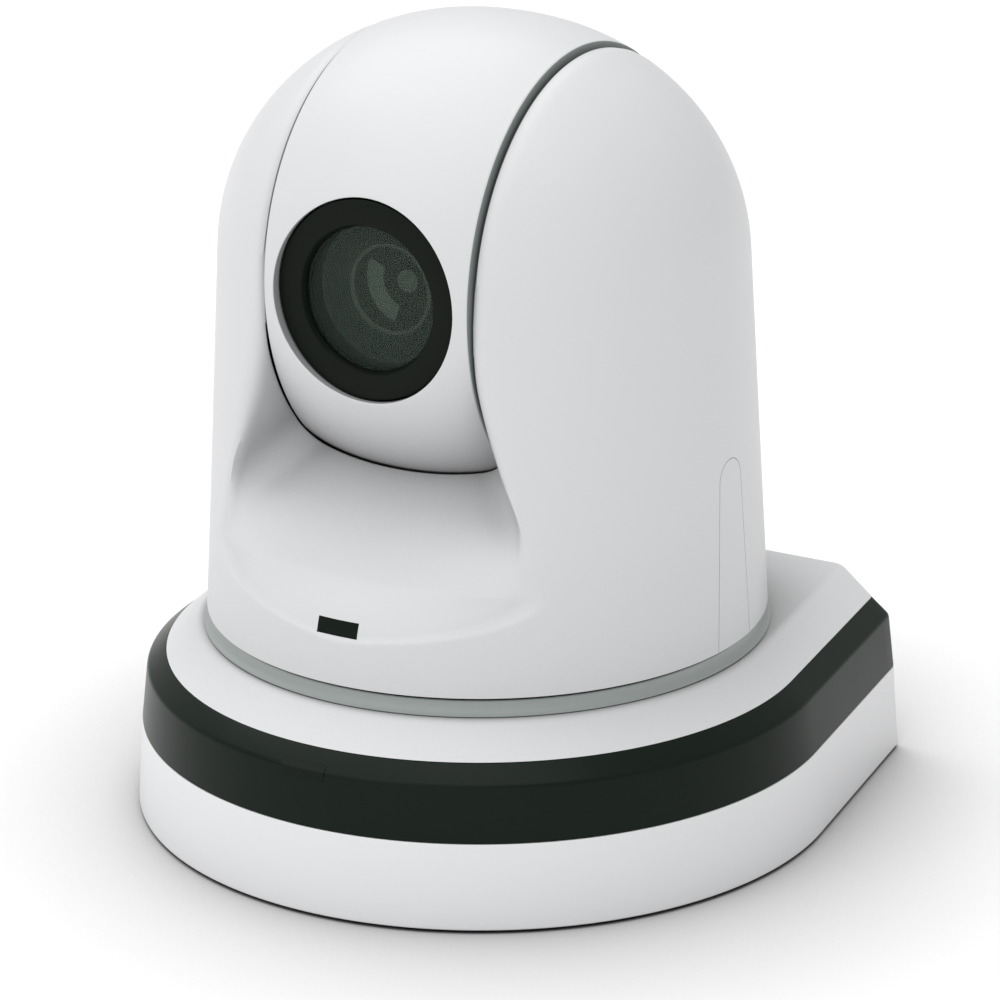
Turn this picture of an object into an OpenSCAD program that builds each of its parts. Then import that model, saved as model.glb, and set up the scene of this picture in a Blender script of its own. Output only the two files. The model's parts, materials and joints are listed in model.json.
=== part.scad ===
// Pan, tilt and zoom camera on a horseshoe-shaped base.
// The pan axis is the z axis. The lens looks along -Y, and z = 0 is the surface the feet stand on.

/* [Base] */
// Radius of the round front of the base, at the floor
base_r = 80; // [78:0.5:82]
// Distance from the pan axis to the flat rear of the base
base_rear = 66; // [65.5:0.5:70]
// Angle by which each side of the base closes in towards the rear
side_taper = 7.33; // [6:0.5:9]
// Height of the joint between the white housing and the black band
band_low = 20; // [19:0.5:21]
// Height of the edge along the black band
band_edge = 32.5; // [32:0.5:33.5]
// Height of the joint between the black band and the white deck
band_high = 36; // [35.5:0.5:37]
// Height of the deck
deck_z = 42.5; // [42.5:0.5:43]

/* [Head] */
// Radius of the head at its bottom edge
head_r = 63.2; // [63:0.1:63.6]
// Height of the head's bottom edge
head_z = 47; // [47:0.1:47.5]
// Height of the tilt axis
tilt_z = 126.5; // [126:0.5:128]
// Half width of the dome, along the tilt axis
dome_a = 59.6; // [59:0.2:61]
// Radius of the dome about the tilt axis
dome_b = 53.1; // [52.8:0.1:53.6]
// Fullness of the dome's profile, where 2 is an ellipse
dome_full = 2.13; // [2:0.01:2.2]
// Half of the gap between the two arms
slot_half = 25.8; // [25.6:0.1:26]

/* [Lens] */
// Outer radius of the lens bezel
bezel_r = 21.7; // [21.4:0.1:21.8]
// Inner radius of the lens bezel
bezel_in = 16; // [15.8:0.1:16.2]
// Height of the lens axis over the tilt axis
lens_rise = 1.3; // [0.8:0.1:1.4]
// Travel of the zoom group

/* [Drive] */
// Teeth on the pan gear
pan_teeth = 60; // [60:1:61]
// Teeth on the pan pinion
pan_pinion_teeth = 15; // [15:1:16]
// Teeth on the tilt gear
tilt_teeth = 44; // [43:1:44]
// Teeth on the tilt pinion
tilt_pinion_teeth = 15; // [15:1:16]

/* [Shells] */
// Wall of the base and head covers
wall = 2.5; // [2.2:0.1:2.6]
// Gap between the tilting block and the arms
gap = 0.6; // [0.5:0.1:0.8]

/* [Hidden] */

white = [0.86, 0.86, 0.86];
black = [0.13, 0.16, 0.14];
grey = [0.62, 0.65, 0.64];
steel = [0.72, 0.73, 0.75];
board_green = [0.05, 0.3, 0.16];
glass_tint = [0.2, 0.25, 0.22];

// Radii of the base at each of its edges, from the floor up
seam_r = base_r - 1.5;
edge_r = base_r - 3;
bevel_r = base_r - 7.4;
deck_r = base_r - 15.15;
housing_z = 0.8;
fine = 120;
mid = 64;
skin = 0.01;

// Bottom plate and what stands on it
plate_low = 1.2;
plate_top = 2.8;
plate_r = base_r - wall - 0.6;
insert_r = 7;
insert_bore = 2.55;
insert_top = 10;
insert_bore_top = 8.5;
bracket_x = 70;
bracket_y = 50;
bracket_hole = 2.15;
screw_r = 1.45;
boss_r = 4;
boss_reach = base_r - wall - 3.5;
rear_boss = [67.5, 57];
boss_angles = [-90, -30, -150, 22, 158];

// Rear bay for the connectors
bay_x = 60;
bay_low = 6.5;
bay_high = 34.5;
bay_wall = 1.5;
bay_floor_y = base_rear - 11;
bay_face_y = bay_floor_y + bay_wall;
rear_wall_y = base_rear - wall;
board_low = 12;
board_top = 13.6;
lan_x = 35;
serial_x = 17;
dc_x = 51;
audio_x = [3, -6];
usb_x = -16;
hdmi_x = -30;
sdi_x = -48;
sdi_z = 21;
jack_gap = 0.2;
post_at = 29;
post_r = 3.5;
spacer_x = 52;
spacer_y = [-20, 32];

// Pan drive
frame_low = 28;
frame_top = 30;
frame_r = 46;
bearing_top = 38;
bearing_r = 20;
shaft_r = 11.95;
bore_r = 12;
shaft_bore = 8;
shaft_low = 16;
gear_low = 20;
gear_high = 25;
gear_module = 1;
mesh_gap = 0.1;
pan_distance = gear_module * (pan_teeth + pan_pinion_teeth) / 2 + mesh_gap;
spindle_r = 1.5;
spindle_hole = 1.55;

// Head frame
turn_low = 48.5;
turn_high = 51.5;
turn_r = 56.5;
flange_low = 46;
upright_in = 30.5;
upright_out = 33.5;
upright_half = 16;
upright_top = tilt_z + 14;
tilt_shaft_r = 5.95;
tilt_bore_r = 6;
tilt_bearing_r = 10;
tilt_gear_low = 47;
tilt_gear_high = 51;
tilt_distance = gear_module * (tilt_teeth + tilt_pinion_teeth) / 2 + mesh_gap;
cover_split = 35;
cover_gap = 0.1;
cover_boss_r = 5.6;
cover_boss_at = 54.5;
lamp_half = 5.2;
lamp_low = 57.6;
lamp_high = 61.4;

// Scoop between the arms: a cone about the tilt axis, over a sloping apron
seam_ring = dome_b * sqrt(1 - pow(slot_half / dome_a, dome_full));
flare = 1.5;
apron_c = 2.5;
apron_low = 59;
far = 120;

// Tilting block
block_half = slot_half - gap;
block_wall = 2.2;
block_split = 20;
bezel_y = -47.8;
bezel_depth = 3;
glass_y = -46.2;
glass_r = bezel_in - 0.2;
lens_z = tilt_z + lens_rise;
barrel_r = 18;
barrel_in = 16;
barrel_front = -43.8;
barrel_rear = 26;
frame_x = 18.3;
frame_wall = 2;
rod_x = 13;
rod_r = 1;
rod_hole = 1.06;
group_r = barrel_in - 0.35;
zoom_y = -28;
focus_y = 14;

function rim_x(r, y) = (r - y * sin(side_taper)) / cos(side_taper);

function dome_radius(x, a, b) = b * sqrt(max(0, 1 - pow(min(1, abs(x) / a), dome_full)));

// Plan of the base for one radius: a round front, straight sides that close in, and a flat rear
module base_plan(r, rear = base_rear) {
    steps = 60;
    sweep = 180 + 2 * side_taper;
    polygon(concat(
        [for (i = [0 : steps]) let (t = side_taper - sweep * i / steps) [r * cos(t), r * sin(t)]],
        [[-rim_x(r, rear), rear], [rim_x(r, rear), rear]]));
}

// Solid between two plans of the base at two heights
module base_layer(r_low, z_low, r_high, z_high, rear = base_rear) {
    hull() {
        translate([0, 0, z_low]) linear_extrude(skin) base_plan(r_low, rear);
        translate([0, 0, z_high - skin]) linear_extrude(skin) base_plan(r_high, rear);
    }
}

module base_core(low, high) {
    translate([0, 0, low]) linear_extrude(high - low) base_plan(edge_r - wall - 0.4, rear_wall_y);
}

module bay_window() {
    translate([2 - bay_x, bay_floor_y + 2, bay_low + bay_wall])
        cube([2 * bay_x - 4, 20, bay_high - bay_low - 2 * bay_wall]);
}

module boss_places() {
    for (t = boss_angles) rotate([0, 0, t]) translate([boss_reach, 0, 0]) children();
    for (s = [-1, 1]) translate([s * rear_boss[0], rear_boss[1], 0]) children();
}

// Angle of an involute flank, in degrees
function involute(a) = tan(a) * 180 / PI - a;

// Half of a tooth's angle at radius r, with a little backlash taken off
function tooth_half(teeth, r) = let (base = gear_module * teeth * cos(20) / 2)
    90 / teeth + involute(20) - (r > base ? involute(acos(base / r)) : 0) - 0.09 / r * 180 / PI;

module gear_plan(teeth) {
    pitch = gear_module * teeth / 2;
    root = pitch - 1.2 * gear_module;
    tip = pitch + 0.9 * gear_module;
    levels = [root, pitch - 0.4, pitch + 0.3, tip];
    polygon([for (i = [0 : teeth - 1]) for (j = [0 : 7])
        let (r = levels[j < 4 ? j : 7 - j], h = tooth_half(teeth, r), side = j < 4 ? -1 : 1,
             t = 360 * i / teeth + side * h)
        [r * cos(t), r * sin(t)]]);
}

module gear(teeth, height, bore) {
    linear_extrude(height) difference() {
        gear_plan(teeth);
        circle(r = bore, $fn = mid);
    }
}

// Turns a shape made about z into one about x, pointing along +X or -X
module along_x(side = 1) {
    translate([0, 0, tilt_z]) rotate([0, side * 90, 0]) children();
}

// Turns a shape made about z into one about the lens axis, with z = 0 at y = 0 and z growing to the rear
module along_lens() {
    translate([0, 0, lens_z]) rotate([-90, 0, 0]) children();
}

module base_housing() {
    color(white) difference() {
        union() {
            difference() {
                base_layer(base_r, housing_z, seam_r, band_low);
                base_core(-1, band_low + 1);
            }
            boss_places() translate([0, 0, plate_top]) cylinder(r = boss_r, h = 12, $fn = mid);
        }
        boss_places() translate([0, 0, -1]) cylinder(r = screw_r + 0.05, h = 12, $fn = mid);
        translate([0, 0, -1]) linear_extrude(plate_top + 1) base_plan(plate_r + 0.2, rear_wall_y);
        bay_window();
    }
}

module band_body(grow = 0) {
    base_layer(seam_r + grow, band_low, edge_r + grow, band_edge);
    base_layer(edge_r + grow, band_edge, bevel_r + grow, band_high);
}

module window_box(extra = 0) {
    translate([-5.3 - extra, -base_r - 5, 30.6 - extra]) cube([10.6 + 2 * extra, 10.5, 3 + 2 * extra]);
}

module base_band() {
    color(black) difference() {
        band_body();
        translate([0, 0, band_low - 1]) linear_extrude(band_high)
            base_plan(bevel_r - wall, rear_wall_y);
        bay_window();
        window_box(0.1);
    }
}

module remote_window() {
    color([0.06, 0.07, 0.06]) intersection() {
        band_body(0.15);
        window_box();
    }
}

module base_deck() {
    color(white) difference() {
        base_layer(bevel_r, band_high, deck_r, deck_z);
        base_layer(bevel_r - wall - 1, band_high - 1, deck_r - wall, deck_z - wall, rear_wall_y);
        cylinder(r = 55, h = 60, $fn = fine);
    }
}

module collar_ring() {
    low_r = deck_r - 0.55;
    top_r = head_r - 1;
    fillet = 2;
    color(grey) rotate_extrude($fn = fine)
        polygon(concat([[57, deck_z], [low_r, deck_z]],
            [for (i = [0 : 5]) let (t = 270 - 18 * i)
                [top_r + fillet + fillet * cos(t), deck_z + 0.3 + fillet + fillet * sin(t)]],
            [[top_r, head_z - gap], [57, head_z - gap]]));
}

module bottom_plate() {
    color(steel) difference() {
        translate([0, 0, plate_low]) linear_extrude(plate_top - plate_low) base_plan(plate_r, rear_wall_y - 0.2);
        translate([0, 0, -1]) cylinder(r = insert_r + 0.1, h = 9, $fn = mid);
        boss_places() translate([0, 0, -1]) cylinder(r = screw_r + 0.25, h = 9, $fn = mid);
        for (sx = [-1, 1], sy = [-1, 1]) translate([sx * bracket_x / 2, sy * bracket_y / 2, -1])
            cylinder(r = bracket_hole, h = 9, $fn = mid);
    }
}

module tripod_insert() {
    color(steel) difference() {
        union() {
            cylinder(r = insert_r, h = insert_top, $fn = mid);
            translate([0, 0, plate_top]) cylinder(r = 10, h = 1.6, $fn = mid);
        }
        translate([0, 0, -1]) cylinder(r = insert_bore, h = insert_bore_top + 1, $fn = mid);
    }
}

module foot_pads() {
    color([0.15, 0.15, 0.15])
        for (p = [[48, -44], [-48, -44], [52, 46], [-52, 46]]) translate([p[0], p[1], 0])
            cylinder(r = 8, h = plate_low, $fn = mid);
}

module plate_screws() {
    color(steel) boss_places() translate([0, 0, 0.2]) {
        cylinder(r = 2.8, h = plate_low - 0.2, $fn = mid);
        cylinder(r = screw_r, h = 9, $fn = mid);
    }
}

// Cut-out in the bay's rear wall for a box-shaped jack
module jack_cut(x, w, z, h) {
    translate([x - w / 2 - jack_gap, bay_floor_y - 1, z - jack_gap])
        cube([w + 2 * jack_gap, 4, h + 2 * jack_gap]);
}

module connector_panel() {
    color([0.2, 0.2, 0.21]) difference() {
        translate([-bay_x, bay_floor_y, bay_low])
            cube([2 * bay_x, rear_wall_y - bay_floor_y, bay_high - bay_low]);
        translate([bay_wall - bay_x, bay_face_y, bay_low + bay_wall])
            cube([2 * (bay_x - bay_wall), 20, bay_high - bay_low - 2 * bay_wall]);
        jack_cut(lan_x, 16, board_top, 13.5);
        jack_cut(serial_x, 16, board_top, 13.5);
        jack_cut(dc_x, 9, board_top, 11);
        jack_cut(usb_x, 8, board_top, 3);
        jack_cut(hdmi_x, 15, board_top, 6);
        for (x = audio_x) jack_cut(x, 7, board_top, 7);
        translate([sdi_x, bay_floor_y - 1, sdi_z]) rotate([-90, 0, 0]) cylinder(r = 6.7, h = 4, $fn = mid);
    }
}

module dc_jack() {
    depth = 14;
    mouth_z = board_top + 5.5;
    color([0.1, 0.1, 0.1]) difference() {
        translate([dc_x - 4.5, bay_face_y - depth, board_top]) cube([9, depth + 0.3, 11]);
        translate([dc_x, bay_face_y - 9.5, mouth_z]) rotate([-90, 0, 0]) cylinder(r = 2.9, h = 20, $fn = mid);
    }
    color(steel) translate([dc_x, bay_face_y - 9.6, mouth_z]) rotate([-90, 0, 0])
        cylinder(r = 1, h = 8.5, $fn = mid);
}

// Modular jack with a wide mouth and a latch notch over it
module modular_jack(x) {
    color([0.66, 0.67, 0.68]) difference() {
        translate([x - 8, bay_face_y - 18, board_top]) cube([16, 18.5, 13.5]);
        translate([x - 5.9, bay_face_y - 14, board_top + 1.6]) cube([11.8, 20, 7]);
        translate([x - 3.2, bay_face_y - 14, board_top + 8]) cube([6.4, 20, 2.6]);
    }
}

module lan_jack() {
    modular_jack(lan_x);
}

module serial_jack() {
    modular_jack(serial_x);
}

module audio_jacks() {
    color([0.1, 0.1, 0.1]) for (x = audio_x) difference() {
        union() {
            translate([x - 3.5, bay_face_y - 13, board_top]) cube([7, 13.2, 7]);
            translate([x, bay_face_y, board_top + 3.5]) rotate([-90, 0, 0]) cylinder(r = 3, h = 1.5, $fn = mid);
        }
        translate([x, bay_face_y - 11, board_top + 3.5]) rotate([-90, 0, 0]) cylinder(r = 1.8, h = 20, $fn = mid);
    }
}

// Metal-shelled socket with a tongue inside
module tongue_socket(x, w, h, depth) {
    rim = 0.5;
    color(steel) difference() {
        translate([x - w / 2, bay_face_y - depth, board_top]) cube([w, depth + 0.5, h]);
        translate([x - w / 2 + rim, bay_face_y - depth + 2, board_top + rim])
            cube([w - 2 * rim, depth, h - 2 * rim]);
    }
    color([0.08, 0.08, 0.08]) translate([x - w / 2 + 1.6, bay_face_y - depth + 1.9, board_top + h / 2 - 0.3])
        cube([w - 3.2, depth - 3, 0.7]);
}

module usb_port() {
    tongue_socket(usb_x, 8, 3, 7);
}

module hdmi_port() {
    tongue_socket(hdmi_x, 15, 6, 11);
}

module sdi_connector() {
    translate([sdi_x, bay_face_y, sdi_z]) rotate([-90, 0, 0]) color(steel) {
        difference() {
            union() {
                translate([0, 0, -8]) cylinder(r = 6.5, h = 8, $fn = mid);
                cylinder(r = 7.6, h = 1.4, $fn = 6);
                cylinder(r = 4.8, h = 8.8, $fn = mid);
                translate([0, 0, 6.4]) rotate([90, 0, 0]) translate([0, 0, -5.9])
                    cylinder(r = 0.9, h = 11.8, $fn = mid);
            }
            translate([0, 0, 0.6]) cylinder(r = 4.1, h = 20, $fn = mid);
        }
        translate([0, 0, 0.5]) cylinder(r = 1.2, h = 6.5, $fn = mid);
    }
    color(steel) translate([sdi_x - 5, bay_face_y - 8, board_top]) cube([10, 6, sdi_z - board_top - 5]);
}

module main_board() {
    color(board_green) difference() {
        translate([-58, -32, board_low]) cube([116, 32 + bay_floor_y - 0.6, board_top - board_low]);
        for (sx = [-1, 1], sy = [-1, 1]) translate([sx * post_at, sy * post_at, 0])
            cylinder(r = post_r + 0.6, h = 60, $fn = mid);
    }
}

module board_spacers() {
    color(steel) for (sx = [-1, 1], y = spacer_y) translate([sx * spacer_x, y, plate_top])
        cylinder(r = 3, h = board_low - plate_top, $fn = 6);
}

module pan_frame() {
    color([0.5, 0.51, 0.53]) difference() {
        union() {
            translate([0, 0, frame_low]) cylinder(r = frame_r, h = frame_top - frame_low, $fn = fine);
            cylinder_ring = bearing_r + 2.5;
            translate([0, 0, frame_low]) cylinder(r = cylinder_ring, h = bearing_top - frame_low, $fn = fine);
        }
        translate([0, 0, frame_top]) cylinder(r = bearing_r, h = 40, $fn = fine);
        cylinder(r = bore_r + 2, h = 60, $fn = fine);
        translate([0, -pan_distance, 0]) cylinder(r = 4, h = 60, $fn = mid);
    }
}

module frame_posts() {
    color(steel) for (sx = [-1, 1], sy = [-1, 1]) translate([sx * post_at, sy * post_at, plate_top])
        cylinder(r = post_r, h = frame_low - plate_top, $fn = mid);
}

module pan_bearing() {
    color(steel) translate([0, 0, frame_top]) difference() {
        cylinder(r = bearing_r - 0.02, h = bearing_top - frame_top, $fn = fine);
        translate([0, 0, -1]) cylinder(r = bore_r, h = 20, $fn = fine);
    }
}

module pan_motor() {
    color([0.3, 0.31, 0.33]) translate([0, -pan_distance, frame_top]) difference() {
        union() {
            cylinder(r = 12.5, h = 9, $fn = mid);
            translate([-16, -4, 0]) cube([32, 8, 1]);
        }
        translate([0, 0, -1]) cylinder(r = spindle_hole, h = 6, $fn = mid);
    }
}

module pan_pinion() {
    half_step = 180 / pan_pinion_teeth;
    color([0.75, 0.62, 0.3]) translate([0, -pan_distance, gear_low]) {
        rotate([0, 0, 90 + half_step]) gear(pan_pinion_teeth, gear_high - gear_low, spindle_r);
        cylinder(r = spindle_r, h = frame_top - gear_low + 4, $fn = mid);
    }
}

module pan_shaft() {
    color(steel) difference() {
        union() {
            translate([0, 0, shaft_low]) cylinder(r = shaft_r, h = turn_low - shaft_low, $fn = fine);
            translate([0, 0, flange_low]) cylinder(r = 24, h = turn_low - flange_low, $fn = fine);
        }
        cylinder(r = shaft_bore, h = 100, $fn = fine);
    }
}

module pan_gear() {
    color([0.9, 0.88, 0.8]) translate([0, 0, gear_low]) rotate([0, 0, -90])
        gear(pan_teeth, gear_high - gear_low, bore_r);
}

module yoke_base() {
    color([0.55, 0.56, 0.58]) difference() {
        translate([0, 0, turn_low]) cylinder(r = turn_r, h = turn_high - turn_low, $fn = fine);
        cylinder(r = shaft_bore, h = 100, $fn = fine);
        cover_boss_places() cylinder(r = screw_r + 0.2, h = 100, $fn = mid);
    }
}

module cover_boss_places() {
    for (t = [35, 145, 215, 325]) rotate([0, 0, t]) translate([cover_boss_at, 0, 0]) children();
}

// Upright of the yoke, with a foot and a hole for the tilt bearing
module yoke_upright(side) {
    low = side > 0 ? upright_in : -upright_out;
    foot_low = side > 0 ? upright_in : -upright_in - 14;
    color([0.55, 0.56, 0.58]) difference() {
        union() {
            translate([low, -upright_half, turn_high])
                cube([upright_out - upright_in, 2 * upright_half, upright_top - turn_high]);
            translate([foot_low, -upright_half, turn_high]) cube([14, 2 * upright_half, 3]);
        }
        along_x() translate([0, 0, -far]) cylinder(r = tilt_bearing_r, h = 2 * far, $fn = fine);
    }
}

module yoke_left() {
    yoke_upright(-1);
}

module yoke_right() {
    yoke_upright(1);
}

// Outer form of the head, taken in by s: the dome about the tilt axis, drawn down to a round bottom
module head_form(s = 0, low = head_z) {
    hull() {
        along_x() rotate_extrude($fn = 48)
            polygon([for (i = [0 : 16]) let (x = (dome_a - s) * sin(90 - 11.25 * i))
                [dome_radius(x, dome_a - s, dome_b - s), x]]);
        translate([0, 0, low]) cylinder(r = head_r - s, h = skin, $fn = 72);
    }
}

// Space between the arms, grown by s: the block's own form, and the flare over the front and rear aprons
module scoop_form(s = 0) {
    half = slot_half + s;
    along_x() rotate_extrude($fn = mid)
        polygon(concat([[0, -half]],
            [for (i = [0 : 12]) let (x = half * (i / 6 - 1)) [dome_radius(x, dome_a, dome_b) + gap + s, x]],
            [[0, half]]));
    reach = 40;
    start = seam_ring - 3;
    inner = half + (s - 3) / flare;
    intersection() {
        along_x() rotate_extrude($fn = mid)
            polygon([[start, -inner], [start + reach, -inner - reach / flare],
                [start + reach, inner + reach / flare], [start, inner]]);
        for (turn = [0, 180]) rotate([0, 0, turn]) multmatrix([[1, 0, 0, 0], [0, 1, 0, 0], [0, 0, 1, tilt_z]])
            rotate([90, 0, 90]) translate([0, 0, -far / 2]) linear_extrude(far)
                polygon([[-far, apron_low - s * 0.4 - tilt_z],
                    [apron_low - s * 0.4 - tilt_z + apron_c + s * 1.4, apron_low - s * 0.4 - tilt_z],
                    [-10, -10 - apron_c - s * 1.4], [-10, 60], [-far, 60]]);
    }
}

// Outline of a side insert in y and z, taken in by s
module insert_outline(s = 0) {
    hull() {
        translate([0, 83.8]) circle(r = 4.8 - s, $fn = 32);
        translate([-7.3 + s, head_z - 4]) square([2 * (7.3 - s), 1]);
    }
}

module insert_bar(side, s = 0) {
    translate([side > 0 ? 40 : -70, 0, 0]) rotate([90, 0, 90]) linear_extrude(30) insert_outline(s);
}

module lamp_bar(s = 0) {
    translate([-lamp_half + s, -head_r - 5, lamp_low + s])
        cube([2 * (lamp_half - s), 14, lamp_high - lamp_low - 2 * s]);
}

module head_covers() {
    difference() {
        union() {
            difference() {
                head_form();
                difference() {
                    head_form(wall, head_z - 1);
                    scoop_form(wall);
                }
            }
            intersection() {
                cover_boss_places() translate([0, 0, turn_high]) cylinder(r = cover_boss_r, h = 12, $fn = mid);
                head_form(wall / 2, head_z - 1);
            }
        }
        scoop_form();
        along_x() translate([0, 0, -45]) cylinder(r = 8, h = 90, $fn = mid);
        insert_bar(1, -0.1);
        insert_bar(-1, -0.1);
        lamp_bar(-0.1);
        cover_boss_places() translate([0, 0, turn_high - 1]) cylinder(r = screw_r + 0.05, h = 10, $fn = mid);
    }
}

module head_front_cover() {
    color(white) intersection() {
        head_covers();
        translate([-far, cover_split - cover_gap - 2 * far, 0]) cube([2 * far, 2 * far, 2 * far]);
    }
}

module head_rear_cover() {
    color(white) intersection() {
        head_covers();
        translate([-far, cover_split + cover_gap, 0]) cube([2 * far, 2 * far, 2 * far]);
    }
}

module side_insert(side) {
    color(white) intersection() {
        difference() {
            head_form();
            head_form(wall, head_z - 1);
        }
        insert_bar(side);
    }
}

module side_insert_left() {
    side_insert(-1);
}

module side_insert_right() {
    side_insert(1);
}

module status_lamp() {
    color([0.1, 0.14, 0.11]) intersection() {
        difference() {
            head_form();
            head_form(wall, head_z - 1);
        }
        lamp_bar();
    }
}

module tilt_bearing(side) {
    color(steel) along_x(side) difference() {
        union() {
            translate([0, 0, upright_in]) cylinder(r = tilt_bearing_r - 0.02, h = 5, $fn = fine);
            translate([0, 0, upright_out]) cylinder(r = 12, h = 2, $fn = fine);
        }
        cylinder(r = tilt_bore_r, h = 80, $fn = fine);
    }
}

module tilt_bearing_left() {
    tilt_bearing(-1);
}

module tilt_bearing_right() {
    tilt_bearing(1);
}

module tilt_motor() {
    color([0.3, 0.31, 0.33]) translate([0, 0, -tilt_distance]) along_x() difference() {
        translate([0, 0, upright_out]) cylinder(r = 11, h = 12, $fn = mid);
        translate([0, 0, upright_out + 8]) cylinder(r = spindle_hole, h = 12, $fn = mid);
    }
}

module tilt_pinion() {
    half_step = 180 / tilt_pinion_teeth;
    spindle_low = upright_out + 9;
    color([0.75, 0.62, 0.3]) translate([0, 0, -tilt_distance]) along_x() {
        translate([0, 0, tilt_gear_low]) rotate([0, 0, 180 + half_step])
            gear(tilt_pinion_teeth, tilt_gear_high - tilt_gear_low, spindle_r);
        translate([0, 0, spindle_low]) cylinder(r = spindle_r, h = tilt_gear_high - spindle_low, $fn = mid);
    }
}

module head_board() {
    color(board_green) translate([-37.6, -20, 62]) cube([1.6, 40, 44]);
    color(steel) for (y = [-12, 12], z = [66, 102]) translate([-36, y, z]) rotate([0, 90, 0])
        cylinder(r = 2, h = 36 - upright_out, $fn = mid);
}

module cover_screws() {
    color(steel) cover_boss_places() {
        translate([0, 0, turn_low - 1.3]) cylinder(r = 2.6, h = 1.3, $fn = mid);
        translate([0, 0, turn_low - 1.3]) cylinder(r = screw_r, h = 10, $fn = mid);
    }
}

// Form of the tilting block, taken in by s
module block_form(s = 0) {
    half = block_half - s;
    along_x() rotate_extrude($fn = fine)
        polygon(concat([[0, -half]],
            [for (i = [0 : 16]) let (x = half * (i / 8 - 1)) [dome_radius(x, dome_a, dome_b) - s, x]],
            [[0, half]]));
}

module block_shells() {
    difference() {
        block_form();
        block_form(block_wall);
        along_x() translate([0, 0, -40]) cylinder(r = 6.5, h = 80, $fn = mid);
        along_lens() translate([0, 0, -80]) cylinder(r = bezel_r + 0.5, h = 80 + bezel_y + bezel_depth + 0.1, $fn = fine);
        for (side = [-1, 1]) screw_places(side) cylinder(r = screw_r + 0.1, h = 40, $fn = mid);
        for (side = [-1, 1]) screw_places(side) translate([0, 0, block_half - 1.2])
            cylinder(r = 2.7, h = 5, $fn = mid);
    }
}

module screw_places(side) {
    for (y = [-11.5, 11.5], z = [-11.5, 11.5]) along_x(side) translate([z, y, 0]) children();
}

module block_front_shell() {
    color(white) union() {
        intersection() {
            block_shells();
            translate([-far, block_split - cover_gap - 2 * far, 0]) cube([2 * far, 2 * far, 2 * far]);
        }
        along_lens() translate([0, 0, bezel_y + bezel_depth + 0.1]) difference() {
            cylinder(r = bezel_r + 1.6, h = 1.2, $fn = fine);
            translate([0, 0, -1]) cylinder(r = barrel_r + 0.3, h = 9, $fn = fine);
        }
    }
}

module block_rear_shell() {
    color(white) intersection() {
        block_shells();
        translate([-far, block_split + cover_gap, 0]) cube([2 * far, 2 * far, 2 * far]);
    }
}

module lens_bezel() {
    color(black) along_lens() rotate_extrude($fn = fine)
        polygon([[bezel_in + 0.6, bezel_y], [bezel_r, bezel_y], [bezel_r, bezel_y + bezel_depth],
            [bezel_in, bezel_y + bezel_depth], [bezel_in, bezel_y + 1]]);
}

module lens_glass() {
    color(glass_tint) along_lens() translate([0, 0, glass_y]) cylinder(r = glass_r, h = 1.8, $fn = fine);
}

module lens_barrel() {
    color([0.12, 0.12, 0.13]) along_lens() difference() {
        translate([0, 0, barrel_front]) cylinder(r = barrel_r, h = barrel_rear - barrel_front, $fn = fine);
        translate([0, 0, barrel_front - 1]) cylinder(r = barrel_in, h = barrel_rear - barrel_front - 1, $fn = fine);
        cylinder(r = 6, h = 60, $fn = mid);
        for (s = [-1, 1]) translate([s * rod_x, 0, 0]) cylinder(r = rod_r, h = 60, $fn = mid);
    }
}

module front_element() {
    color(glass_tint) along_lens() translate([0, 0, barrel_front + 1]) intersection() {
        cylinder(r = barrel_in - 0.1, h = 7, $fn = fine);
        translate([0, 0, 30]) sphere(r = 30, $fn = fine);
    }
}

// Cradle that carries the lens between the two tilt shafts
module lens_frame() {
    color([0.4, 0.41, 0.43]) difference() {
        union() {
            for (s = [0, 1]) mirror([s, 0, 0]) translate([frame_x, -14, tilt_z - 21.5])
                cube([frame_wall, 28, 35.5]);
            translate([-frame_x, -14, tilt_z - 21.5]) cube([2 * frame_x, 28, 2.5]);
        }
        for (side = [-1, 1]) screw_places(side) cylinder(r = screw_r + 0.05, h = 40, $fn = mid);
    }
}

module block_screws() {
    color(steel) for (side = [-1, 1]) screw_places(side) {
        translate([0, 0, frame_x]) cylinder(r = screw_r, h = block_half - frame_x - 0.3, $fn = mid);
        translate([0, 0, block_half - 1.2]) cylinder(r = 2.6, h = 1, $fn = mid);
    }
}

module tilt_shaft(side, reach) {
    flange_in = frame_x + frame_wall;
    color(steel) along_x(side) {
        translate([0, 0, flange_in]) cylinder(r = 9, h = 2, $fn = fine);
        translate([0, 0, flange_in]) cylinder(r = tilt_shaft_r, h = reach - flange_in, $fn = fine);
    }
}

module tilt_shaft_left() {
    tilt_shaft(-1, 38);
}

module tilt_shaft_right() {
    tilt_shaft(1, tilt_gear_high + 1);
}

module tilt_gear() {
    color([0.9, 0.88, 0.8]) along_x() translate([0, 0, tilt_gear_low])
        gear(tilt_teeth, tilt_gear_high - tilt_gear_low, tilt_bore_r);
}

module guide_rods() {
    color(steel) along_lens() for (s = [-1, 1]) translate([s * rod_x, 0, barrel_front + 9])
        cylinder(r = rod_r, h = barrel_rear - barrel_front - 9, $fn = mid);
}

module sensor_board() {
    color(board_green) along_lens() translate([-15, -15, barrel_rear + 2]) cube([30, 30, 1.6]);
}

module image_sensor() {
    color([0.15, 0.16, 0.2]) along_lens() translate([-5, -4, barrel_rear + 0.2]) cube([10, 8, 1.8]);
}

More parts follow.
